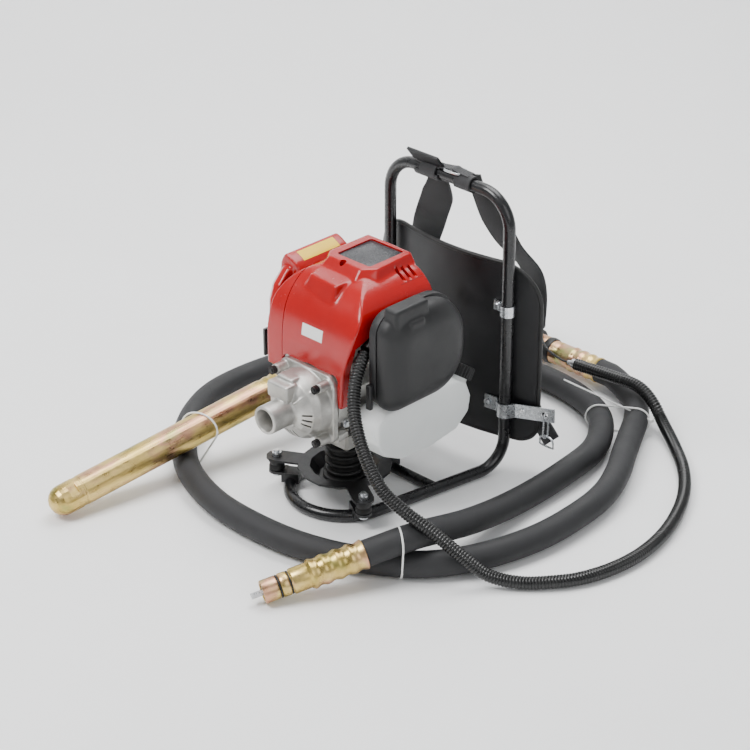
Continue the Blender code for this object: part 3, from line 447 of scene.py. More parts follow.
def wrapped_rubber(name):
    """Hose cover cured under tape: a fine cloth print with a slow spiral edge, on UVs in metres."""
    paint = Paint(name)
    patches = paint.noise(30.0, 6.0, 0.65)
    tint = paint.ramp(patches, [(0.3, (0.01, 0.01, 0.011)), (0.7, (0.026, 0.026, 0.028))])
    normal = paint.bump(paint.noise(1300.0, 2.0, 0.5), 0.00012, 0.5)
    normal = paint.bump(paint.wave("DIAGONAL", "SAW", 12.0, 0.6), 0.00035, 0.55, normal)
    normal = paint.bump(paint.noise(60.0, 3.0), 0.0006, 0.4, normal)
    return paint.finished({"Base Color": tint, "Roughness": paint.spread(patches, 0.55, 0.8),
                           "Normal": normal})


def webbing(name):
    """Black woven tape: ribs one way and yarns the other, on UVs in metres."""
    paint = Paint(name)
    waves = {0: paint.wave("X", "SIN", 190.0, 0.8), 1: paint.wave("Y", "SIN", 320.0, 0.8)}
    weave = paint.node("Math", waves, operation="MULTIPLY").outputs[0]
    patches = paint.noise(40.0, 5.0)
    tint = paint.ramp(patches, [(0.3, (0.008, 0.008, 0.009)), (0.7, (0.03, 0.03, 0.033))])
    return paint.finished({"Base Color": tint, "Roughness": paint.spread(patches, 0.75, 0.95),
                           "Normal": paint.bump(weave, 0.0004, 0.8), "Sheen Weight": 0.25})


def moulded(name, color, rough, scale=1500.0, depth=0.00012):
    """Black moulding with a spark-eroded grain."""
    paint = Paint(name)
    cells = paint.node("TexVoronoi", {"Scale": scale, "Vector": paint.place}).outputs["Distance"]
    patches = paint.noise(25.0, 5.0, 0.6)
    lighter = tuple(c * 1.9 + 0.004 for c in color)
    normal = paint.bump(cells, depth, 0.35)
    normal = paint.bump(paint.noise(220.0, 4.0, 0.7), 0.00005, 0.4, normal)
    return paint.finished({"Base Color": paint.ramp(patches, [(0.3, color), (0.75, lighter)]),
                           "Roughness": paint.spread(patches, *rough), "Normal": normal})


RED = finish("red_cover", (0.34, 0.0, 0.0), (0.42, 0.0, 0.001), (0.18, 0.28), patch=9.0, grain=260.0,
             grain_depth=0.00002, grain_strength=0.25, wave_depth=0.00008, coat=0.15, coat_rough=0.06)
ENAMEL = finish("black_enamel", (0.004, 0.004, 0.005), (0.009, 0.009, 0.01), (0.24, 0.34), patch=22.0,
                grain=420.0, grain_depth=0.00002, grain_strength=0.2, wave_depth=0.00004, coat=0.25,
                coat_rough=0.18)
PRESSED = finish("black_pressed_steel", (0.004, 0.004, 0.0045), (0.011, 0.011, 0.012), (0.3, 0.46),
                 patch=30.0, grain=600.0, grain_depth=0.00006, grain_strength=0.4, wave_depth=0.0002)
MOULDED = moulded("black_moulding", (0.004, 0.004, 0.0045), (0.42, 0.6))
GLOSSY = moulded("glossy_black_moulding", (0.004, 0.004, 0.004), (0.2, 0.32), 600.0, 0.00003)
BOARD = moulded("board_vinyl", (0.0035, 0.0035, 0.0045), (0.38, 0.56), 700.0, 0.00022)
HOSE = wrapped_rubber("wrapped_rubber")
SATIN_RUBBER = finish("satin_rubber", (0.005, 0.005, 0.005), (0.013, 0.013, 0.013), (0.42, 0.62), patch=40.0,
                      grain=800.0, grain_depth=0.00005)
WEBBING = webbing("webbing")
GOLD = zinc_gold("zinc_gold")
GOLD_LONG = zinc_gold("zinc_gold_poker", (1.6, 0.55, 1.6))
ZINC = finish("bright_zinc", (0.52, 0.55, 0.58), (0.72, 0.73, 0.74), (0.2, 0.38), 1.0, patch=70.0,
              grain=500.0, grain_depth=0.00004)
STEEL = finish("machined_steel", (0.44, 0.44, 0.45), (0.6, 0.6, 0.61), (0.22, 0.4), 1.0, patch=60.0,
               grain=900.0)
CAST = finish("blasted_casting", (0.4, 0.39, 0.37), (0.57, 0.56, 0.53), (0.36, 0.54), 0.9, patch=55.0,
              grain=1100.0, grain_depth=0.00014, grain_strength=0.6)
BLACK_OXIDE = finish("black_oxide", (0.012, 0.012, 0.013), (0.035, 0.034, 0.034), (0.28, 0.45), 0.7,
                     patch=90.0, grain=700.0)
TANK = finish("milky_tank", (0.86, 0.89, 0.88), (0.93, 0.95, 0.94), (0.26, 0.42), patch=14.0, grain=350.0,
              grain_depth=0.00005, wave_depth=0.0002, subsurface=0.35, ior=1.49)
NYLON = finish("natural_nylon", (0.8, 0.8, 0.77), (0.9, 0.9, 0.88), (0.3, 0.45), patch=60.0, grain=500.0,
               subsurface=0.2)
BULB = finish("primer_rubber", (0.5, 0.52, 0.46), (0.6, 0.62, 0.56), (0.18, 0.3), patch=60.0, grain=500.0,
              transmission=0.45)
FOAM = finish("filter_foam", (0.02, 0.02, 0.02), (0.07, 0.07, 0.07), (0.85, 1.0), patch=120.0, grain=500.0,
              grain_depth=0.0008, grain_strength=1.0)
YELLOW_LABEL = finish("yellow_label", (0.78, 0.5, 0.0), (0.86, 0.58, 0.002), (0.3, 0.42), patch=25.0,
                      grain=600.0)
WHITE_LABEL = finish("white_label", (0.78, 0.79, 0.77), (0.86, 0.86, 0.84), (0.32, 0.45), patch=30.0,
                     grain=600.0)
PANEL = finish("dark_panel", (0.018, 0.019, 0.022), (0.034, 0.035, 0.04), (0.22, 0.34), patch=35.0,
               grain=700.0)
CORE_PLASTIC = finish("pulley_plastic", (0.7, 0.7, 0.67), (0.8, 0.8, 0.77), (0.35, 0.5), patch=30.0)
SWITCH_RED = finish("switch_red", (0.5, 0.01, 0.01), (0.62, 0.02, 0.015), (0.25, 0.35), patch=80.0)
HARD_DARK = finish("sintered_lining", (0.1, 0.09, 0.08), (0.2, 0.18, 0.16), (0.6, 0.8), 0.5, patch=90.0)
ROPE = finish("starter_rope", (0.3, 0.3, 0.29), (0.62, 0.6, 0.55), (0.7, 0.9), patch=900.0, grain=1500.0,
              grain_depth=0.0003)


def paint_nodes():
    """Give every CAD node that still shows the material of what it is made of."""
    groups = {
        PRESSED: ["engine_plate", "tube_saddle_1", "tube_saddle_2", "tube_saddle_3", "muffler_guard"],
        ZINC: ["upper_clip_left", "upper_clip_right", "strap_bracket_left", "strap_bracket_right",
               "mount_bolt_1", "mount_bolt_2", "mount_bolt_3"],
        CAST: ["crankcase", "cylinder", "piston", "carburettor", "flywheel"],
        GOLD_LONG: ["poker_tip", "poker_tube"],
        STEEL: ["drum_bearing", "clutch_drum", "crankshaft", "muffler", "throttle_lever", "drive_core",
                "eccentric_rotor"],
        BLACK_OXIDE: ["housing_bolt_1", "housing_bolt_2", "housing_bolt_3", "housing_bolt_4"],
        MOULDED: ["recoil_housing", "air_box", "choke_lever", "oil_cap", "throttle_handle",
                  "throttle_trigger", "starter_grip"],
        HARD_DARK: ["clutch_shoes"], BULB: ["primer_bulb"], FOAM: ["air_filter"],
        CORE_PLASTIC: ["recoil_pulley"], SWITCH_RED: ["stop_switch"],
    }
    for mat, names in groups.items():
        for name in names:
            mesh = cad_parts[name].data
            mesh.materials.clear()
            mesh.materials.append(mat)


# ---------------------------------------------------------------- camera, floor, light

LAMPS = (("key", (-0.6, -1.5, 2.3), 1.2, 66.0), ("fill", (2.0, -0.7, 1.5), 1.6, 14.0),
         ("top", (-0.3, 0.8, 2.6), 1.8, 70.0))


def build_stage():
    """Floor and far wall in one pale sweep, soft light from above, camera at the photograph's angle."""
    bm = bmesh.new()
    profile = [(-3.0, 0.0)] + arc((0.9, 0.6), 0.6, -90, 0, 10) + [(1.5, 3.0)]
    turn = Matrix.Rotation(CAMERA_TURN, 4, "Z")
    rows = [[bm.verts.new(turn @ Vector((side * 4.0, y, z))) for side in (-1, 1)] for y, z in profile]
    for a, b in zip(rows, rows[1:]):
        bm.faces.new((a[0], a[1], b[1], b[0]))
    mesh = to_mesh(bm)
    sweep = bpy.data.objects.new("floor", mesh)
    bpy.context.scene.collection.objects.link(sweep)
    mesh.shade_smooth()
    mesh.materials.append(finish("floor_paint", (0.92, 0.92, 0.92), (0.95, 0.95, 0.95), (0.6, 0.75),
                                 patch=3.0, grain=60.0, grain_depth=0.0004, grain_strength=0.4))

    world = bpy.data.worlds.new("studio")
    bpy.context.scene.world = world
    world.use_nodes = True
    world.node_tree.nodes["Background"].inputs["Color"].default_value = (0.95, 0.98, 1.0, 1)
    world.node_tree.nodes["Background"].inputs["Strength"].default_value = 0.48

    for name, place, size, power in LAMPS:
        lamp = bpy.data.lights.new(name, "AREA")
        lamp.energy = power
        lamp.size = size
        obj = bpy.data.objects.new(name, lamp)
        bpy.context.scene.collection.objects.link(obj)
        obj.location = place
        obj.rotation_euler = (Vector((0, 0, 0.15)) - obj.location).to_track_quat("-Z", "Y").to_euler()

    data = bpy.data.cameras.new("camera")
    data.lens = CAMERA_LENS
    data.sensor_width = 36.0
    data.shift_y = CAMERA_SHIFT
    camera = bpy.data.objects.new("camera", data)
    bpy.context.scene.collection.objects.link(camera)
    level = math.cos(CAMERA_RISE)
    back = Vector((math.sin(CAMERA_TURN) * level, -math.cos(CAMERA_TURN) * level, math.sin(CAMERA_RISE)))
    camera.location = CAMERA_TARGET + SHIFT + back * CAMERA_REACH
    camera.rotation_euler = back.to_track_quat("Z", "Y").to_euler()
    bpy.context.scene.camera = camera


CAMERA_TURN, CAMERA_RISE = math.radians(44.398), math.radians(27.813)
CAMERA_TARGET, CAMERA_REACH = Vector((0.0007, 0.0556, 0.1501)), 3.2005
CAMERA_LENS, CAMERA_SHIFT = 118.66, 0.0027


# ---------------------------------------------------------------- flexible shaft and throttle conduit

HOSE_R, HOSE_Z = 0.0172, 0.0195
CONDUIT_R = 0.0087
COUPLING_MOUTH, COUPLING_END = Vector((0.116, -0.258, 0.0157)), Vector((0.176, -0.141, 0.045))
UNION_LEFT, UNION_RIGHT = Vector((-0.11, 0.463, 0.0235)), Vector((0.046, 0.463, 0.0235))
POKER_TIP, POKER_DIR = Vector((-0.219, -0.314, 0.0207)), Vector((0.165, 0.971, 0.179)).normalized()
POKER_L = 0.36
ELBOW_END = Vector((0.0725, -0.0335, 0.2475))
CONDUIT_END = Vector((0.04, 0.417, 0.0485))

MAIN_ROUTE = [(0.203, -0.078, 0.0555), (0.206, 0.018, 0.036), (0.197, 0.120, HOSE_Z),
              (0.192, 0.220, HOSE_Z), (0.177, 0.297, HOSE_Z), (0.130, 0.362, HOSE_Z),
              (0.060, 0.392, HOSE_Z), (-0.020, 0.398, HOSE_Z), (-0.110, 0.382, HOSE_Z),
              (-0.195, 0.335, HOSE_Z), (-0.262, 0.258, HOSE_Z), (-0.298, 0.160, HOSE_Z),
              (-0.303, 0.060, HOSE_Z), (-0.279, -0.010, HOSE_Z), (-0.232, -0.072, HOSE_Z),
              (-0.163, -0.126, HOSE_Z), (-0.073, -0.157, HOSE_Z), (0.029, -0.160, HOSE_Z),
              (0.110, -0.1435, HOSE_Z), (0.172, -0.1130, HOSE_Z), (0.222, -0.072, HOSE_Z),
              (0.256, -0.010, HOSE_Z), (0.275, 0.070, HOSE_Z), (0.275, 0.150, HOSE_Z),
              (0.265, 0.210, HOSE_Z), (0.243, 0.263, HOSE_Z), (0.218, 0.306, HOSE_Z),
              (0.193, 0.350, HOSE_Z), (0.169, 0.392, HOSE_Z), (0.142, 0.4255, HOSE_Z),
              (0.116, 0.4435, 0.020), (0.085, 0.4575, 0.022)]
TAIL_ROUTE = [(-0.165, 0.4550, 0.0235), (-0.215, 0.425, 0.029), (-0.243, 0.375, 0.042),
              (-0.247, 0.318, 0.0565), (-0.232, 0.262, 0.0625), (-0.209, 0.215, 0.0700),
              (-0.187, 0.172, 0.0780), (-0.168, 0.130, 0.0835), (-0.158, 0.090, 0.0865)]
CONDUIT_ROUTE = [(0.0775, -0.0490, 0.2340), (0.081, -0.061, 0.216), (0.086, -0.069, 0.196),
                 (0.095, -0.076, 0.176), (0.107, -0.081, 0.156), (0.123, -0.086, 0.136),
                 (0.141, -0.090, 0.119), (0.163, -0.092, 0.103), (0.197, -0.088, 0.0875),
                 (0.228, -0.076, 0.0695), (0.262, -0.058, 0.041), (0.288, -0.040, 0.018),
                 (0.318, -0.016, 0.010), (0.345, 0.012, 0.010), (0.366, 0.045, 0.010),
                 (0.379, 0.090, 0.010), (0.382, 0.140, 0.010), (0.373, 0.195, 0.010),
                 (0.353, 0.250, 0.010), (0.325, 0.300, 0.010), (0.288, 0.345, 0.010),
                 (0.242, 0.385, 0.010), (0.198, 0.4130, 0.020), (0.178, 0.4190, 0.036),
                 (0.157, 0.4225, 0.0475), (0.135, 0.4235, 0.0515), (0.100, 0.4210, 0.0505)]


def corrugated(distance):
    """Radius of the conduit at a distance along it: round ribs four millimetres apart."""
    wave = abs(math.sin(math.pi * distance / 0.004))
    return CONDUIT_R - 0.0013 + 0.0013 * wave


def build_hoses():
    unit = (COUPLING_END - COUPLING_MOUTH).normalized()
    start = COUPLING_END + unit * 0.0003
    last = UNION_RIGHT + Vector((0.0003, 0, 0))
    knots = [start + unit * 0.016] + MAIN_ROUTE + [last + Vector((0.02, 0, 0))]
    main = [start] + route(knots, 0.012) + [last]
    hose = link("main_hose_cover", tube(main, HOSE_R, 32), HOSE, replaces=["main_hose"])
    rear = POKER_TIP + POKER_DIR * (POKER_L + 0.0003)
    first = UNION_LEFT - Vector((0.0003, 0, 0))
    knots = [first - Vector((0.015, 0, 0))] + TAIL_ROUTE + [rear + POKER_DIR * 0.02]
    tail = [first] + route(knots, 0.012) + [rear]
    rear_hose = link("tail_hose_cover", tube(tail, HOSE_R, 32), HOSE, replaces=["tail_hose"])
    start = ELBOW_END + Vector((0.0004, -0.0028, -0.0018))
    ribs = route([start] + CONDUIT_ROUTE + [CONDUIT_END], 0.0008)
    sleeve = link("throttle_conduit_cover", tube(ribs, corrugated, 16), GLOSSY, replaces=["throttle_conduit"])
    return (hose, main), (rear_hose, tail), (sleeve, ribs)


def waves(start, end, radius, count, swell, steps=10):
    """Crimped sleeve profile."""
    out = []
    for k in range(count * steps + 1):
        share = k / (count * steps)
        out.append((radius + swell * math.cos(share * count * 2 * math.pi), start + (end - start) * share))
    return out


def build_coupling():
    """Gold end fitting: plain mouth, two grooves with rings, thick sleeve, crimped tail."""
    run = COUPLING_END - COUPLING_MOUTH
    length = run.length
    place = along(COUPLING_MOUTH, run)
    outer = soft_profile([(0.0115, 0.018), (0.0115, 0.0004), (0.0148, 0.0004), (0.0148, 0.02), (0.0136,
                                                                                                0.0206),
                          (0.0136, 0.0234), (0.0152, 0.024), (0.0152, 0.034), (0.014, 0.0346), (0.014,
                                                                                                0.0374),
                          (0.0162, 0.039), (0.0162, 0.06)], 0.0007)
    outer += waves(0.064, length - 0.001, 0.0182, 4, 0.001) + [(0.0175, length), (0, length)]
    profile = [(0, 0.018)] + outer
    made = link("coupling_sleeve", lathe(profile, place, 64), GOLD, replaces=["drive_coupling"])
    seals = []
    for height in (0.022, 0.036):
        ring = [(0.014 + 0.0009 * math.cos(a), height + 0.0011 * math.sin(a))
                for a in (math.radians(30 * k) for k in range(13))]
        seals.append(lathe(ring, place, 48))
    rings = link("coupling_seals", joined(seals), SATIN_RUBBER)
    return [made, rings]


def build_union():
    """Gold joint behind the machine: two sleeves, a black ring where they meet, a crimp at the main hose."""
    place = along(UNION_LEFT, (1, 0, 0))
    span = (UNION_RIGHT - UNION_LEFT).length
    left = soft_profile([(0, 0.0002), (0.017, 0.0002), (0.0175, 0.003), (0.0175, 0.06), (0.0168, 0.0608),
                         (0.0168, 0.0664), (0, 0.0664)], 0.0006)
    right = soft_profile([(0, 0.0666), (0.0168, 0.0666), (0.0168, 0.085), (0.016, 0.0856), (0.016, 0.0864),
                          (0.0168, 0.087), (0.0168, 0.105)], 0.0006)
    right += waves(0.108, span - 0.002, 0.0175, 3, 0.0008) + [(0.0172, span - 0.0003), (0, span - 0.0003)]
    near = link("union_sleeve_left", lathe(left, place, 64), GOLD, replaces=["union_tube"])
    far = link("union_sleeve_right", lathe(right, place, 64), GOLD)
    ring = [(0.0176 + 0.0012 * math.cos(a), 0.0665 + 0.0055 * math.sin(a)) for a in
            (math.radians(20 * k) for k in range(19))]
    band = link("union_ring", lathe(ring, place, 48), SATIN_RUBBER)
    return [far, band], [near]


# ---------------------------------------------------------------- engine covers

HOOD_FRONT = [(-0.079, 0.186), (-0.079, 0.266), (-0.068, 0.3), (-0.044, 0.321), (0.03, 0.324),
              (0.056, 0.312), (0.077, 0.29), (0.072, 0.262), (0.058, 0.215), (0.0545, 0.166),
              (0.04, 0.166), (0.036, 0.184)]
HOOD_SIDE = [(-0.06, 0.16), (-0.0605, 0.235), (-0.056, 0.268), (-0.045, 0.292), (-0.025, 0.311),
             (0.0, 0.321), (0.02, 0.326), (0.072, 0.326), (0.085, 0.314), (0.09, 0.16)]
VOXEL = 0.0016
SEAM_X, SEAM_T = -0.05, 0.001


def eased(points, times=3):
    """Cut the corners off an open run of points, keeping its two ends."""
    for _ in range(times):
        cut = [points[0]]
        for a, b in zip(points, points[1:]):
            cut += [tuple(p + (q - p) * share for p, q in zip(a, b)) for share in (0.25, 0.75)]
        points = cut + [points[-1]]
    return points


def build_hood():
    """Glossy red top cover: a domed shell, a raised block, a panel recess, vents, a seam and a bolt hole."""
    shell = combined(prism(eased(HOOD_FRONT[:9]) + HOOD_FRONT[9:], -0.12, 0.12,
                           Matrix.Translation((0, 0.015, 0)) @ ON_XZ),
                     prism(eased(HOOD_SIDE[:9]) + HOOD_SIDE[9:], -0.15, 0.15, ON_YZ), "INTERSECT")
    foot = [(-0.052, -0.03), (0.034, -0.04), (0.06, 0.0), (0.056, 0.088), (-0.058, 0.09), (-0.06, 0.01)]
    top = [(-0.031, 0.006), (0.026, 0.004), (0.04, 0.02), (0.036, 0.086), (-0.042, 0.087), (-0.042, 0.018)]
    spine = frustum(foot, top, 0.288, 0.3302)
    chin = frustum([(-0.044, -0.0602), (0.024, -0.0602), (0.02, 0.0), (-0.04, 0.0)],
                   [(-0.03, -0.03), (0.022, -0.034), (0.022, 0.01), (-0.032, 0.01)], 0.235, 0.318)
    body = melted([shell, spine, chin], VOXEL, 16)
    inner_front = [(x * 0.955, 0.15 if z < 0.19 else z - 0.0045) for x, z in HOOD_FRONT[:-2]]
    inner_side = [(y + (0.0035 if y < 0.015 else -0.0035), 0.14 if z < 0.2 else z - 0.0045)
                  for y, z in HOOD_SIDE]
    hollow = combined(prism(inner_front, -0.12, 0.12, Matrix.Translation((0, 0.015, 0)) @ ON_XZ),
                      prism(inner_side, -0.15, 0.15, ON_YZ), "INTERSECT")
    side_gap = [(-0.048, 0.14), (-0.048, 0.252), (-0.008, 0.271), (0.03, 0.2865), (0.12, 0.2865),
                (0.12, 0.14)]
    cuts = [hollow, prism(side_gap, 0.045, 0.145, ON_YZ), block((-0.1, -0.03, 0.15), (-0.07, 0.062, 0.288)),
            block((-0.1, 0.04, 0.15), (0.11, 0.11, 0.2225)),
            rod((0, -0.08, CRANK_Z), (0, -0.02, CRANK_Z), 0.0502, 64),
            block((-0.08, -0.07, 0.15), (0.0345, -0.03, 0.1835), 0.004)]
    cuts += bolt_rods(0.03, 0.08, 0.0092, 24, 1.06)
    panel = rounded((-0.0285, 0.0165), (0.0295, 0.079), (0.004,) * 4, 4)
    cuts.append(prism(panel, 0.327, 0.35))
    cuts.append(rod((-0.006, 0.0055, 0.305), (-0.006, 0.0055, 0.345), 0.0046, 24))
    for k in range(3):
        start = 0.048 + 0.01 * k
        cuts.append(block((0.0405 + 0.0008 * k, start, 0.308), (0.06, start + 0.005, 0.3262), 0.0008))
    cuts.append(block((SEAM_X - SEAM_T, -0.09, 0.15), (SEAM_X, 0.12, 0.35)))
    body = minus(body, *cuts)
    link("top_cover_shell", body, RED, replaces=["top_cover"], sharp=50)
    plate = prism(scaled(panel, (0, 0.0475), 0.985, 0.985), 0.3266, 0.3284)
    link("cover_panel", evaluated(plate, ("BEVEL", {"width": 0.0003, "segments": 2})), PANEL)
    link("cover_bolt", rod((-0.006, 0.0055, 0.307), (-0.006, 0.0055, 0.315), 0.0038, 24, 0.0005), STEEL)
    decal("blank_label_white", body, Vector((0.002, -0.06, 0.256)), (0, -1, 0.2), (1, 0, 0), 0.036, 0.016,
          WHITE_LABEL)
    # A thin black sheet under the vent slots is painted shade, so the slots read dark inside.
    link("vent_painted_shade_sheet", block((0.038, 0.042, 0.306), (0.06, 0.08, 0.3074)), PRESSED)


def build_side_cover():
    """Red cover over the exhaust, with a seam against the hood and a blank yellow label on its shoulder."""
    outline = [(-0.049, 0.2235), (-0.048, 0.265), (-0.04, 0.288), (-0.023, 0.306), (0.005, 0.315),
               (0.035, 0.3175), (0.07, 0.315), (0.081, 0.3), (0.083, 0.2235)]
    inner = scaled(outline, (0.017, 0.262), 0.82, 0.78)
    dish = lofted([[(x, y, z) for y, z in ring]
                   for x, ring in ((-0.0745, outline), (-0.085, outline), (-0.0978, inner))])
    crest = [(-0.096, 0.29), (-0.096, 0.306), (-0.09, 0.32), (-0.083, 0.323), (-0.06, 0.31),
             (-0.06, 0.29)]
    ridge = prism(eased(crest), -0.074, 0.018, ON_XZ)
    body = melted([dish, ridge], VOXEL, 12)
    hollow = [(y, 0.215 if z < 0.233 else z) for y, z in scaled(outline, (0.017, 0.262), 0.8, 0.76)]
    body = minus(body, prism(hollow, -0.0915, -0.06, ON_YZ))
    link("side_cover_shell", body, RED, replaces=["side_cover"], sharp=50)
    decal("blank_label_yellow", body, Vector((-0.074, 0.029, 0.318)), (0.45, 0, 0.89), (0, 1, 0), 0.064,
          0.016, YELLOW_LABEL)


COVER_CENTRE = (0.0265, 0.239)


def build_air_cover():
    """Matt black air cleaner cover: D-shaped, bulging outwards, with a latch block on its top."""
    outline = rounded((-0.0445, 0.1735), (0.0975, 0.3045), (0.022, 0.056, 0.06, 0.026), 14)
    sections = [[(0.1005, y, z) for y, z in outline]]
    for k in range(15):
        turn = math.radians(90 * k / 14)
        share, x = 1 - 0.46 * (1 - math.cos(turn)), 0.1085 + 0.0225 * math.sin(turn)
        sections.append([(x, y, z) for y, z in scaled(outline, COVER_CENTRE, share, share)])
    latch = block((0.101, -0.033, 0.282), (0.124, 0.026, 0.316), 0.004)
    tongue = block((0.11, -0.012, 0.274), (0.129, 0.014, 0.296), 0.003)
    body = melted([lofted(sections), latch, tongue], 0.0015, 8)
    body = minus(body, prism(scaled(outline, COVER_CENTRE, 0.93, 0.93), 0.09, 0.112, ON_YZ))
    link("air_cleaner_shell", body, MOULDED, body="air_cover", replaces=["air_cleaner_cover"], sharp=50)
    lip = rounded((-0.0448, 0.1733), (0.0978, 0.3048), (0.03, 0.045, 0.05, 0.028), 8)
    box = evaluated(prism(lip, 0.0884, 0.0998, ON_YZ), ("BEVEL", {"width": 0.001, "segments": 2}))
    bore = rod((0.08, 0.0135, 0.242), (0.11, 0.0135, 0.242), 0.009, 32)
    link("air_box_body", minus(box, bore), MOULDED, replaces=["air_box"])
    # A glossy black block in the gap under the hood: the plug cap, and painted shade for the dark recess
    # round it.
    top = melted([block((0.045, -0.017, 0.27), (0.086, 0.026, 0.286), 0.003)], 0.0015, 3)
    link("plug_cap_and_recess_shade", top, GLOSSY)


def build_housing():
    """Cast clutch housing: square flange with four bolt bosses, dome, hump, rib, slots and the open mouth."""
    flange = rounded((-0.0485, -0.0485), (0.0485, 0.0485), (0.015,) * 4, 8)
    shells = [prism(flange, 0.0585, 0.0668, CRANK)]
    dome = [(0, 0.0585), (0.0465, 0.0585), (0.0465, 0.07), (0.0445, 0.083), (0.039, 0.0925), (0.03, 0.099),
            (0.0205, 0.1035), (0.019, 0.107), (0.019, 0.1392), (0.0182, 0.14), (0, 0.14)]
    shells.append(lathe(dome, CRANK, 64))
    shells.append(block((-0.024, -0.113, 0.179), (0.012, -0.093, 0.201), 0.003))
    shells.append(block((-0.02, -0.1, 0.193), (0.008, -0.07, 0.206), 0.003))
    shells += bolt_rods(0.059, 0.085, 0.0066, 32)
    for x, z in ((BOLT_HALF, BOLT_HALF), (-BOLT_HALF, -BOLT_HALF), (BOLT_HALF, -BOLT_HALF)):
        start = (x * 0.42, -0.106, CRANK_Z + z * 0.42)
        shells.append(rod(start, (x * 0.95, -0.076, CRANK_Z + z), 0.0016, 12))
    body = melted(shells, 0.0011, 4)
    cavity = [(0, 0.05), (0.0425, 0.05), (0.0425, 0.0825), (0.0163, 0.093), (0.0163, 0.1028),
              (0.014, 0.1032), (0.014, 0.15), (0, 0.15)]
    cuts = [lathe(cavity, CRANK, 64)]
    chamfer = [(0, 0.138), (0.014, 0.138), (0.0158, 0.141), (0, 0.141)]
    cuts.append(lathe(chamfer, CRANK, 64))
    cuts += bolt_rods(0.05, 0.09, 0.0034, 24)
    for number, near, far, first, step in ((3, 0.026, 0.038, -4, 13), (4, 0.027, 0.04, 72, 11)):
        for k in range(number):
            slot = block((near, -0.12, -0.0012), (far, -0.06, 0.0012), 0.001, 2)
            turn = Matrix.Rotation(math.radians(first + step * k), 4, "Y")
            slot.transform(Matrix.Translation((0, 0, CRANK_Z)) @ turn)
            cuts.append(slot)
    body = minus(body, *cuts)
    link("clutch_housing_casting", body, CAST, replaces=["clutch_housing"], sharp=45)
    screw = [rod((-0.029, -0.103, 0.1905), (-0.0235, -0.103, 0.1905), 0.0048, 32, 0.0006),
             rod((-0.0302, -0.103, 0.1905), (-0.0292, -0.103, 0.1905), 0.003, 6)]
    link("shaft_clamp_screw", joined(screw), ZINC)
    # Flat black hex discs on the bolt heads are painted shade, standing for the depth of the hex sockets.
    link("bolt_socket_painted_shade", joined(bolt_rods(0.0914, 0.0926, 0.0027, 6)), PRESSED)


def build_tank():
    """Milky blown tank with soft corners, and its ribbed cap."""
    lobe = [(-0.034, 0.12), (-0.024, 0.1), (0.006, 0.085), (0.06, 0.0815), (0.11, 0.088), (0.133, 0.106),
            (0.137, 0.128), (0.128, 0.15), (0.108, 0.16), (-0.018, 0.16), (-0.034, 0.146)]
    rear = [(0.05, 0.084), (0.11, 0.09), (0.132, 0.108), (0.135, 0.13), (0.126, 0.1455), (0.09, 0.1455),
            (0.09, 0.1045), (0.05, 0.1045)]
    foot, axis = Vector((0.08, 0.116, 0.138)), Vector((0, 0.574, 0.819)).normalized()
    outer = melted([prism(lobe, 0.0515, 0.0955, ON_YZ), prism(rear, -0.0795, 0.06, ON_YZ)], 0.0018, 14)
    neck = rod(foot, foot + axis * 0.031, 0.013, 48)
    body = melted([outer, neck], 0.0016, 3)
    body = minus(body, rod(foot - axis * 0.01, foot + axis * 0.04, 0.01, 32))
    link("fuel_tank_body", body, TANK, replaces=["fuel_tank"], sharp=60)
    sections = []
    for height, radius, depth in ((0.0202, 0.0165, 0.0), (0.0206, 0.0172, 0.0008), (0.0345, 0.0172, 0.0008),
                                  (0.0362, 0.0166, 0.0002), (0.037, 0.015, 0.0), (0.0366, 0.011, 0.0)):
        ribs = [radius + depth * (1 if k % 4 < 2 else -1) for k in range(96)]
        sections.append([(r * c, r * s, height) for r, (c, s) in zip(ribs, circle(96))])
    link("fuel_cap_ribbed", lofted(sections, along(foot, axis)), MOULDED, body="tank_cap",
         replaces=["fuel_cap"], sharp=30)


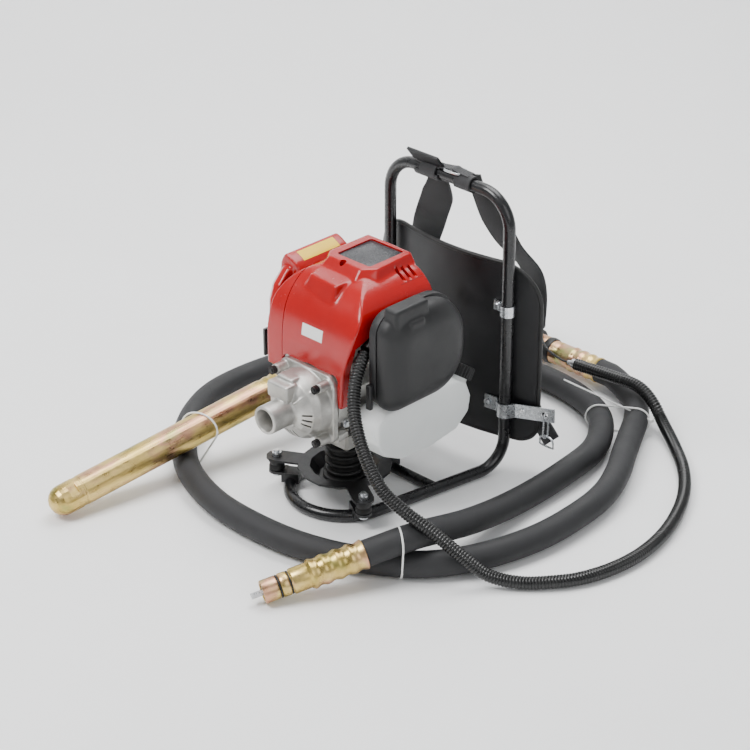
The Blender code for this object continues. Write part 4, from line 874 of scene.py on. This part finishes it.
def build_engine_trim():
    """Damper bellows, rubber bushes, cable elbow, crankcase bolts and its wire clip."""
    ribs = [(0, 0.0782), (0.019, 0.0782), (0.02, 0.0776)]
    for k in range(4):
        top = 0.077 - 0.0115 * k
        swell = arc((0.0235, top - 0.0025), 0.0025, 90, -90, 8)
        ribs += [(0.0205, top)] + swell + [(0.0205, top - 0.005), (0.0198, top - 0.008)]
    ribs += [(0.0265, 0.034), (0.0285, 0.0325), (0.0285, 0.0293), (0, 0.0293)]
    link("damper_bellows", lathe(ribs, steps=64), SATIN_RUBBER, replaces=["damper"])
    bushes = []
    for angle in (90, 210, 330):
        at = Matrix.Rotation(math.radians(angle), 4, "Z") @ Matrix.Translation((0.092, 0, 0))
        profile = [(0.005, 0.0243), (0.0095, 0.0243), (0.0105, 0.0255), (0.0105, 0.029), (0.009, 0.032),
                   (0.0105, 0.035), (0.0105, 0.0388), (0.0095, 0.0399), (0.005, 0.0399)]
        bushes.append(lathe(profile, at, 40))
    link("rubber_bushes", joined(bushes), SATIN_RUBBER)
    elbow = route([(0.07, -0.0104, 0.252), (0.0703, -0.02, 0.253), ELBOW_END], 0.0015)
    link("cable_elbow_boot", tube(elbow, 0.008, 32), GLOSSY, replaces=["cable_elbow"])
    bolts = []
    for x, y, z in ((0.044, -0.0455, 0.14), (0.044, -0.0455, 0.184), (0.027, 0.006, 0.105)):
        bolts.append(rod((x, y, z), (x + 0.0085, y, z), 0.004, 6, 0.0004))
        bolts.append(rod((x, y, z), (x + 0.006, y, z), 0.0056, 24, 0.0003))
    link("crankcase_bolts", joined(bolts), ZINC)
    loop = [Vector((0.045, -0.03 + 0.006 * math.cos(a), 0.125 + 0.0095 * math.sin(a)))
            for a in (math.radians(15 * k) for k in range(24))]
    link("wire_clip", ring_tube(loop, 0.0012), PRESSED)
    fins = []
    for k in range(5):
        z = 0.101 + 0.004 * k
        fins.append(block((-0.0285, -0.024, z), (0.0285, 0.026, z + 0.0016), 0.0004, 1))
    link("crankcase_ribs", joined(fins), CAST)


# ---------------------------------------------------------------- frame, board and harness

BOARD_X, BOARD_LOW, BOARD_TOP, BOARD_T = 0.143, 0.04, 0.296, 0.006
UPRIGHT_X, UPRIGHT_Y, BAR_Z, CROSSBAR_Y = 0.105, 0.193, 0.39, 0.082


def bend(before, corner, after, radius, count=14):
    """Arc points that round a corner between two straight runs."""
    before, corner, after = Vector(before), Vector(corner), Vector(after)
    u, w = (before - corner).normalized(), (after - corner).normalized()
    half = u.angle(w) / 2
    centre = corner + (u + w).normalized() * (radius / math.sin(half))
    reach = radius / math.tan(half)
    first, last = corner + u * reach - centre, corner + w * reach - centre
    return [centre + first.slerp(last, k / count).normalized() * radius for k in range(count + 1)]


def build_frame():
    """Bent tube frame: top bar, uprights, legs that meet in a loop, and the cross bar under the engine."""
    radius, loop_r, splay = 0.008, 0.072, math.radians(9.4)
    loop_y = UPRIGHT_Y - (UPRIGHT_X - loop_r * math.cos(splay)) / math.tan(splay) + loop_r * math.sin(splay)
    tangent = (loop_r * math.cos(splay), loop_y - loop_r * math.sin(splay), radius)
    top, foot = (UPRIGHT_X, UPRIGHT_Y, BAR_Z), (UPRIGHT_X, UPRIGHT_Y, radius)
    right = bend((0, UPRIGHT_Y, BAR_Z), top, foot, 0.045) + bend(top, foot, tangent, 0.04)
    loop = [Vector((x, y, radius)) for x, y in arc((0, loop_y), loop_r, -9.4, -170.6, 60)]
    left = [Vector((-p.x, p.y, p.z)) for p in reversed(right)]
    bar = rod((-0.083, CROSSBAR_Y, radius), (0.083, CROSSBAR_Y, radius), 0.007, 32)
    link("frame_tube_enamelled", joined([ring_tube(right + loop + left, radius, 32), bar]), ENAMEL,
         replaces=["frame_tube"], sharp=60)


def board_y(x):
    return 0.1875 + 1.45 * x * x


def build_board():
    """Curved vinyl-covered board: a slightly crowned sheet with a piped edge."""
    edge = BOARD_X - 0.0028
    outline = rounded((-edge, BOARD_LOW + 0.0025), (edge, BOARD_TOP - 0.0025), (0.026, 0.026, 0.056, 0.056),
                      14)
    bm = bmesh.new()
    across, up = 72, 64
    rows = []
    for side in (0, 1):
        sheet = []
        for i in range(across + 1):
            x = -BOARD_X + 2 * BOARD_X * i / across
            column = []
            for j in range(up + 1):
                z = BOARD_LOW + (BOARD_TOP - BOARD_LOW) * j / up
                inset = min(1.0, (BOARD_X - abs(x)) / 0.016) * min(1.0, (z - BOARD_LOW) / 0.016,)
                inset *= min(1.0, (BOARD_TOP - z) / 0.016)
                soft = 0.0009 * noise.noise(Vector((x * 22, z * 22, side * 3.0)))
                crown = 0.0012 * max(0.0, inset) ** 0.5 + soft * max(0.0, inset)
                y = board_y(x) + (0.0014 - crown if side == 0 else BOARD_T - 0.0014 + crown)
                column.append(bm.verts.new((x, y, z)))
            sheet.append(column)
        rows.append(sheet)
    for side, sheet in enumerate(rows):
        for i in range(across):
            for j in range(up):
                face = (sheet[i][j], sheet[i + 1][j], sheet[i + 1][j + 1], sheet[i][j + 1])
                bm.faces.new(face if side == 0 else face[::-1])
    front, back = rows
    rim = ([(i, 0) for i in range(across)] + [(across, j) for j in range(up)]
           + [(i, up) for i in range(across, 0, -1)] + [(0, j) for j in range(up, 0, -1)])
    for (i, j), (k, m) in zip(rim, rim[1:] + rim[:1]):
        bm.faces.new((front[i][j], back[i][j], back[k][m], front[k][m]))
    body = combined(to_mesh(bm), prism(outline, -0.3, -0.1, ON_XZ), "INTERSECT")
    link("back_board", body, BOARD, replaces=["back_pad"], sharp=45)
    piping = [Vector((x, board_y(x) + BOARD_T / 2, z)) for x, z in outline]
    dense = []
    for a, b in zip(piping, piping[1:] + piping[:1]):
        steps = max(1, round((b - a).length / 0.006))
        for k in range(steps):
            x = a.x + (b.x - a.x) * k / steps
            z = a.z + (b.z - a.z) * k / steps
            dense.append(Vector((x, board_y(x) + BOARD_T / 2, z)))
    link("board_piping", ring_tube(dense, 0.0031, 12), SATIN_RUBBER)


def tape(points, width, thickness, across):
    """Woven tape of one width along a path."""
    return strap(points, [width] * len(points), thickness, [Vector(across)] * len(points))


def strap(points, widths, thickness, across, sag=0.0):
    """Woven tape along a path, with a bowed section and UVs in metres."""
    bm = bmesh.new()
    uv = bm.loops.layers.uv.new("UVMap")
    section = 8
    rows, marks, gone = [], [], 0.0
    for k, point in enumerate(points):
        if k:
            gone += (point - points[k - 1]).length
        run = (points[min(k + 1, len(points) - 1)] - points[max(k - 1, 0)]).normalized()
        wide = (across[k] - run * across[k].dot(run)).normalized()
        out = run.cross(wide).normalized()
        row = []
        for s in range(section + 1):
            t = s / section * 2 - 1
            lift = sag * (1 - t * t)
            row.append(point + wide * t * widths[k] / 2 + out * lift)
        rows.append([[bm.verts.new(p + out * half) for half in (thickness / 2, -thickness / 2)] for p in row])
        marks.append(gone)
    for k in range(len(rows) - 1):
        for s in range(section):
            for side in (0, 1):
                here, after = rows[k], rows[k + 1]
                quad = [here[s][side], here[s + 1][side], after[s + 1][side], after[s][side]]
                face = bm.faces.new(quad if side else quad[::-1])
                spots = {quad[0]: (s, k), quad[1]: (s + 1, k), quad[2]: (s + 1, k + 1), quad[3]: (s, k + 1)}
                for loop in face.loops:
                    a, b = spots[loop.vert]
                    loop[uv].uv = (widths[b] * a / section, marks[b])
        for s in (0, section):
            bm.faces.new((rows[k][s][0], rows[k][s][1], rows[k + 1][s][1], rows[k + 1][s][0]))
    for row in (rows[0], rows[-1]):
        for s in range(section):
            bm.faces.new((row[s][0], row[s + 1][0], row[s + 1][1], row[s][1]))
    return to_mesh(bm)


STRAP_ROUTE = [(0.030, 0.2045, 0.3990), (0.034, 0.2090, 0.380), (0.046, 0.222, 0.345),
               (0.068, 0.234, 0.305), (0.094, 0.252, 0.265), (0.106, 0.248, 0.215), (0.104, 0.233, 0.160),
               (0.108, 0.231, 0.110), (0.128, 0.2335, 0.072), (0.154, 0.2330, 0.0440)]


def build_straps():
    """Two padded shoulder straps, narrow at the bar and at the ring, hanging behind the board."""
    for word, side in (("left", -1), ("right", 1)):
        points = route([(side * x, y, z) for x, y, z in STRAP_ROUTE], 0.006)
        count = len(points) - 1
        across, widths = [], []
        for k, point in enumerate(points):
            share = k / count
            twist = 0.35 * math.sin(share * math.pi * 2.2 + (0.6 if side > 0 else 0.0))
            across.append(Vector((math.cos(twist), -0.1 * side + math.sin(twist) * 0.5, 0)))
            wide = 0.026 + 0.018 * min(1.0, max(0.0, (share - 0.06) / 0.1))
            widths.append(wide - 0.016 * min(1.0, max(0.0, (share - 0.72) / 0.1)))
        body = strap(points, widths, 0.0028, across, 0.0015)
        link("strap_web_" + word, body, WEBBING, replaces=["shoulder_strap_" + word])
        wrap = route([Vector((side * 0.03, UPRIGHT_Y + 0.0105 * math.cos(a), BAR_Z + 0.0105 * math.sin(a)))
                      for a in (math.radians(-95 + 28 * k) for k in range(12))], 0.003)
        link("strap_loop_" + word, tape(wrap, 0.026, 0.0022, (1, 0, 0)), WEBBING)


def build_tab():
    """Stiff carrying tab on the top bar, its tri-glide and the tape through it."""
    path = route([(-0.033, 0.1765, 0.4175), (-0.033, 0.184, 0.408), (-0.033, 0.19, 0.4005)], 0.002)
    tab = tape(path, 0.054, 0.0042, (1, 0, 0))
    tab = evaluated(tab, ("BEVEL", {"width": 0.001, "segments": 2, "limit_method": "ANGLE"}))
    link("carry_tab_leather", tab, BOARD, replaces=["carry_tab"], sharp=50)
    wrap = route([Vector((-0.033, UPRIGHT_Y + 0.01 * math.cos(a), BAR_Z + 0.01 * math.sin(a)))
                  for a in (math.radians(125 - 30 * k) for k in range(11))], 0.003)
    link("tab_loop", tape(wrap, 0.04, 0.0022, (1, 0, 0)), WEBBING)
    glide = [Vector((0.0105 + 0.0125 * px, 0.193 + 0.0095 * py, 0.4012)) for px, py in
             rounded((-1, -1), (1, 1), (0.35,) * 4, 4)]
    bar = tube([Vector((0.0105, 0.1835, 0.4012)), Vector((0.0105, 0.2025, 0.4012))], 0.0014, 12)
    link("tri_glide", joined([ring_tube(glide, 0.0017), bar]), ZINC)
    ribbon = route([(-0.012, 0.193, 0.4008), (0.004, 0.193, 0.403), (0.0105, 0.193, 0.4045),
                    (0.018, 0.1932, 0.4026), (0.036, 0.1945, 0.4008)], 0.003)
    link("glide_tape", tape(ribbon, 0.0145, 0.0018, (0, 1, 0)), WEBBING)


def build_hooks():
    """Bright snap hooks in the bracket holes, D-rings below them, and the board screws."""
    for word, side in (("left", -1), ("right", 1)):
        x = side * 0.1545
        stadium = []
        for k in range(13):
            a = math.radians(15 * k)
            stadium.append(Vector((x, 0.219 + 0.0048 * math.cos(a), 0.0868 + 0.0048 * math.sin(a))))
        for k in range(13):
            a = math.radians(180 + 15 * k)
            stadium.append(Vector((x, 0.219 + 0.0048 * math.cos(a), 0.06 + 0.0048 * math.sin(a))))
        ring = [Vector((x + 0.0115 * px, 0.2215, 0.056 - 0.015 * pz)) for px, pz in [(-1, 0.95), (-1, 0.5),
                                                                                     (-0.85, 0.2), (-0.5,
                                                                                                    0.04),
                                                                                     (0, 0.0), (0.5, 0.04),
                                                                                     (0.85, 0.2), (1, 0.5),
                                                                                     (1, 0.95), (0.5, 1.0),
                                                                                     (0, 1.0), (-0.5, 1.0)]]
        link("snap_hook_" + word, joined([ring_tube(stadium, 0.0013), ring_tube(ring, 0.0014)]), ZINC)
        screws = []
        for px in (0.0755, 0.1275):
            y = 0.1915 if px < 0.1 else 0.2025
            turn = Vector((0.1 * side, -1, 0)) if px < 0.1 else Vector((0.42 * side, -0.9, 0)).normalized()
            at = Vector((side * px, y, 0.09))
            screws.append(rod(at, at + turn * 0.0032, 0.0044, 24, 0.0008))
            screws.append(rod(at + turn * 0.003, at + turn * 0.0036, 0.002, 6))
        at = Vector((side * 0.0865, 0.1942, 0.234))
        screws.append(rod(at, at + Vector((0, -0.0032, 0)), 0.0044, 24, 0.0008))
        link("board_screws_" + word, joined(screws), ZINC)


def hull(points):
    """Convex outline round points in a plane."""
    ordered = sorted(set(points))
    outline = []
    for run in (ordered, ordered[::-1]):
        chain = []
        for p in run:
            while len(chain) > 1 and ((chain[-1][0] - chain[-2][0]) * (p[1] - chain[-2][1])
                                      - (chain[-1][1] - chain[-2][1]) * (p[0] - chain[-2][0])) <= 0:
                chain.pop()
            chain.append(p)
        outline += chain[:-1]
    return outline


def tie_loop(centre, across_run, sections):
    """A nylon tie pulled tight round the sections that hoses make in one upright plane."""
    run = Vector(across_run).normalized()
    wide = Vector((0, 0, 1)).cross(run).normalized()
    spots = [(at + (half + 0.0016) * math.cos(turn), height + (tall + 0.0016) * math.sin(turn))
             for at, height, half, tall in sections for turn in (math.radians(7.5 * k) for k in range(48))]
    band = [Vector(centre) + wide * at + Vector((0, 0, max(height, 0.0016))) for at, height in hull(spots)]
    return ring_tube(band, 0.0013, 8)


def build_ties():
    """White cable ties that hold the loops of hose and the poker together."""
    left = [tie_loop((-0.195, -0.095, 0), (0.35, -0.93, 0), [(-0.0054, 0.0195, 0.0207, 0.0172),
                                                             (0.0152, 0.0621, 0.0245, 0.0206)])]
    front = [tie_loop((0.195, -0.1, 0), (0.55, 0.83, 0), [(0.0049, 0.0195, 0.019, 0.0172),
                                                            (-0.0011, 0.052, 0.019, 0.0182)])]
    right = [tie_loop((0.15, 0.377, 0), (-0.55, 0.84, 0), [(0.025, 0.0195, 0.0178, 0.0172),
                                                            (-0.0241, 0.0195, 0.0178, 0.0172)]),
             block((0.185, 0.396, 0.02), (0.192, 0.403, 0.026), 0.001),
             rod((0.188, 0.399, 0.024), (0.083, 0.339, 0.07), 0.0012, 8)]
    for name, meshes in (("cable_tie_left", left), ("cable_tie_front", front), ("cable_tie_right", right)):
        link(name, joined(meshes), NYLON)


def build_cable():
    """Bare throttle cable from the conduit's brass end to the hand throttle, and the starter rope."""
    ferrule = lathe([(0, -0.001), (0.0064, -0.001), (0.0066, 0.0), (0.0066, 0.006), (0.004, 0.0072),
                     (0.003, 0.014), (0, 0.014)], along(CONDUIT_END, (-0.85, -0.05, -0.08)), 32)
    cap = link("conduit_ferrule", ferrule, STEEL)
    points = route([CONDUIT_END + Vector((-0.012, -0.0008, -0.0012)), (0.012, 0.416, 0.047), (-0.02, 0.423,
                                                                                              0.05),
                    (-0.045, 0.44, 0.056), (-0.0585, 0.456, 0.059), (-0.0645, 0.4615, 0.059)], 0.002)
    wire = link("throttle_wire", tube(points, 0.0016, 12), SATIN_RUBBER)
    rope = route([(-0.044, 0.065, 0.185), (-0.052, 0.065, 0.185), (-0.06, 0.065, 0.185)], 0.0008)
    cord = bpy.data.objects.new("starter_rope", tube([Vector(p) + SHIFT for p in rope], 0.0017, 10))
    bpy.context.scene.collection.objects.link(cord)
    cord.data.materials.append(ROPE)
    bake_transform(cord)
    return cap, wire, points


build_stage()
paint_nodes()
MAIN, TAIL, CONDUIT = build_hoses()
COUPLING = build_coupling()
UNION_FAR, UNION_NEAR = build_union()
build_hood()
build_side_cover()
build_air_cover()
build_housing()
build_tank()
build_engine_trim()
build_frame()
build_board()
build_straps()
build_tab()
build_hooks()
build_ties()
FERRULE, WIRE, WIRE_POINTS = build_cable()
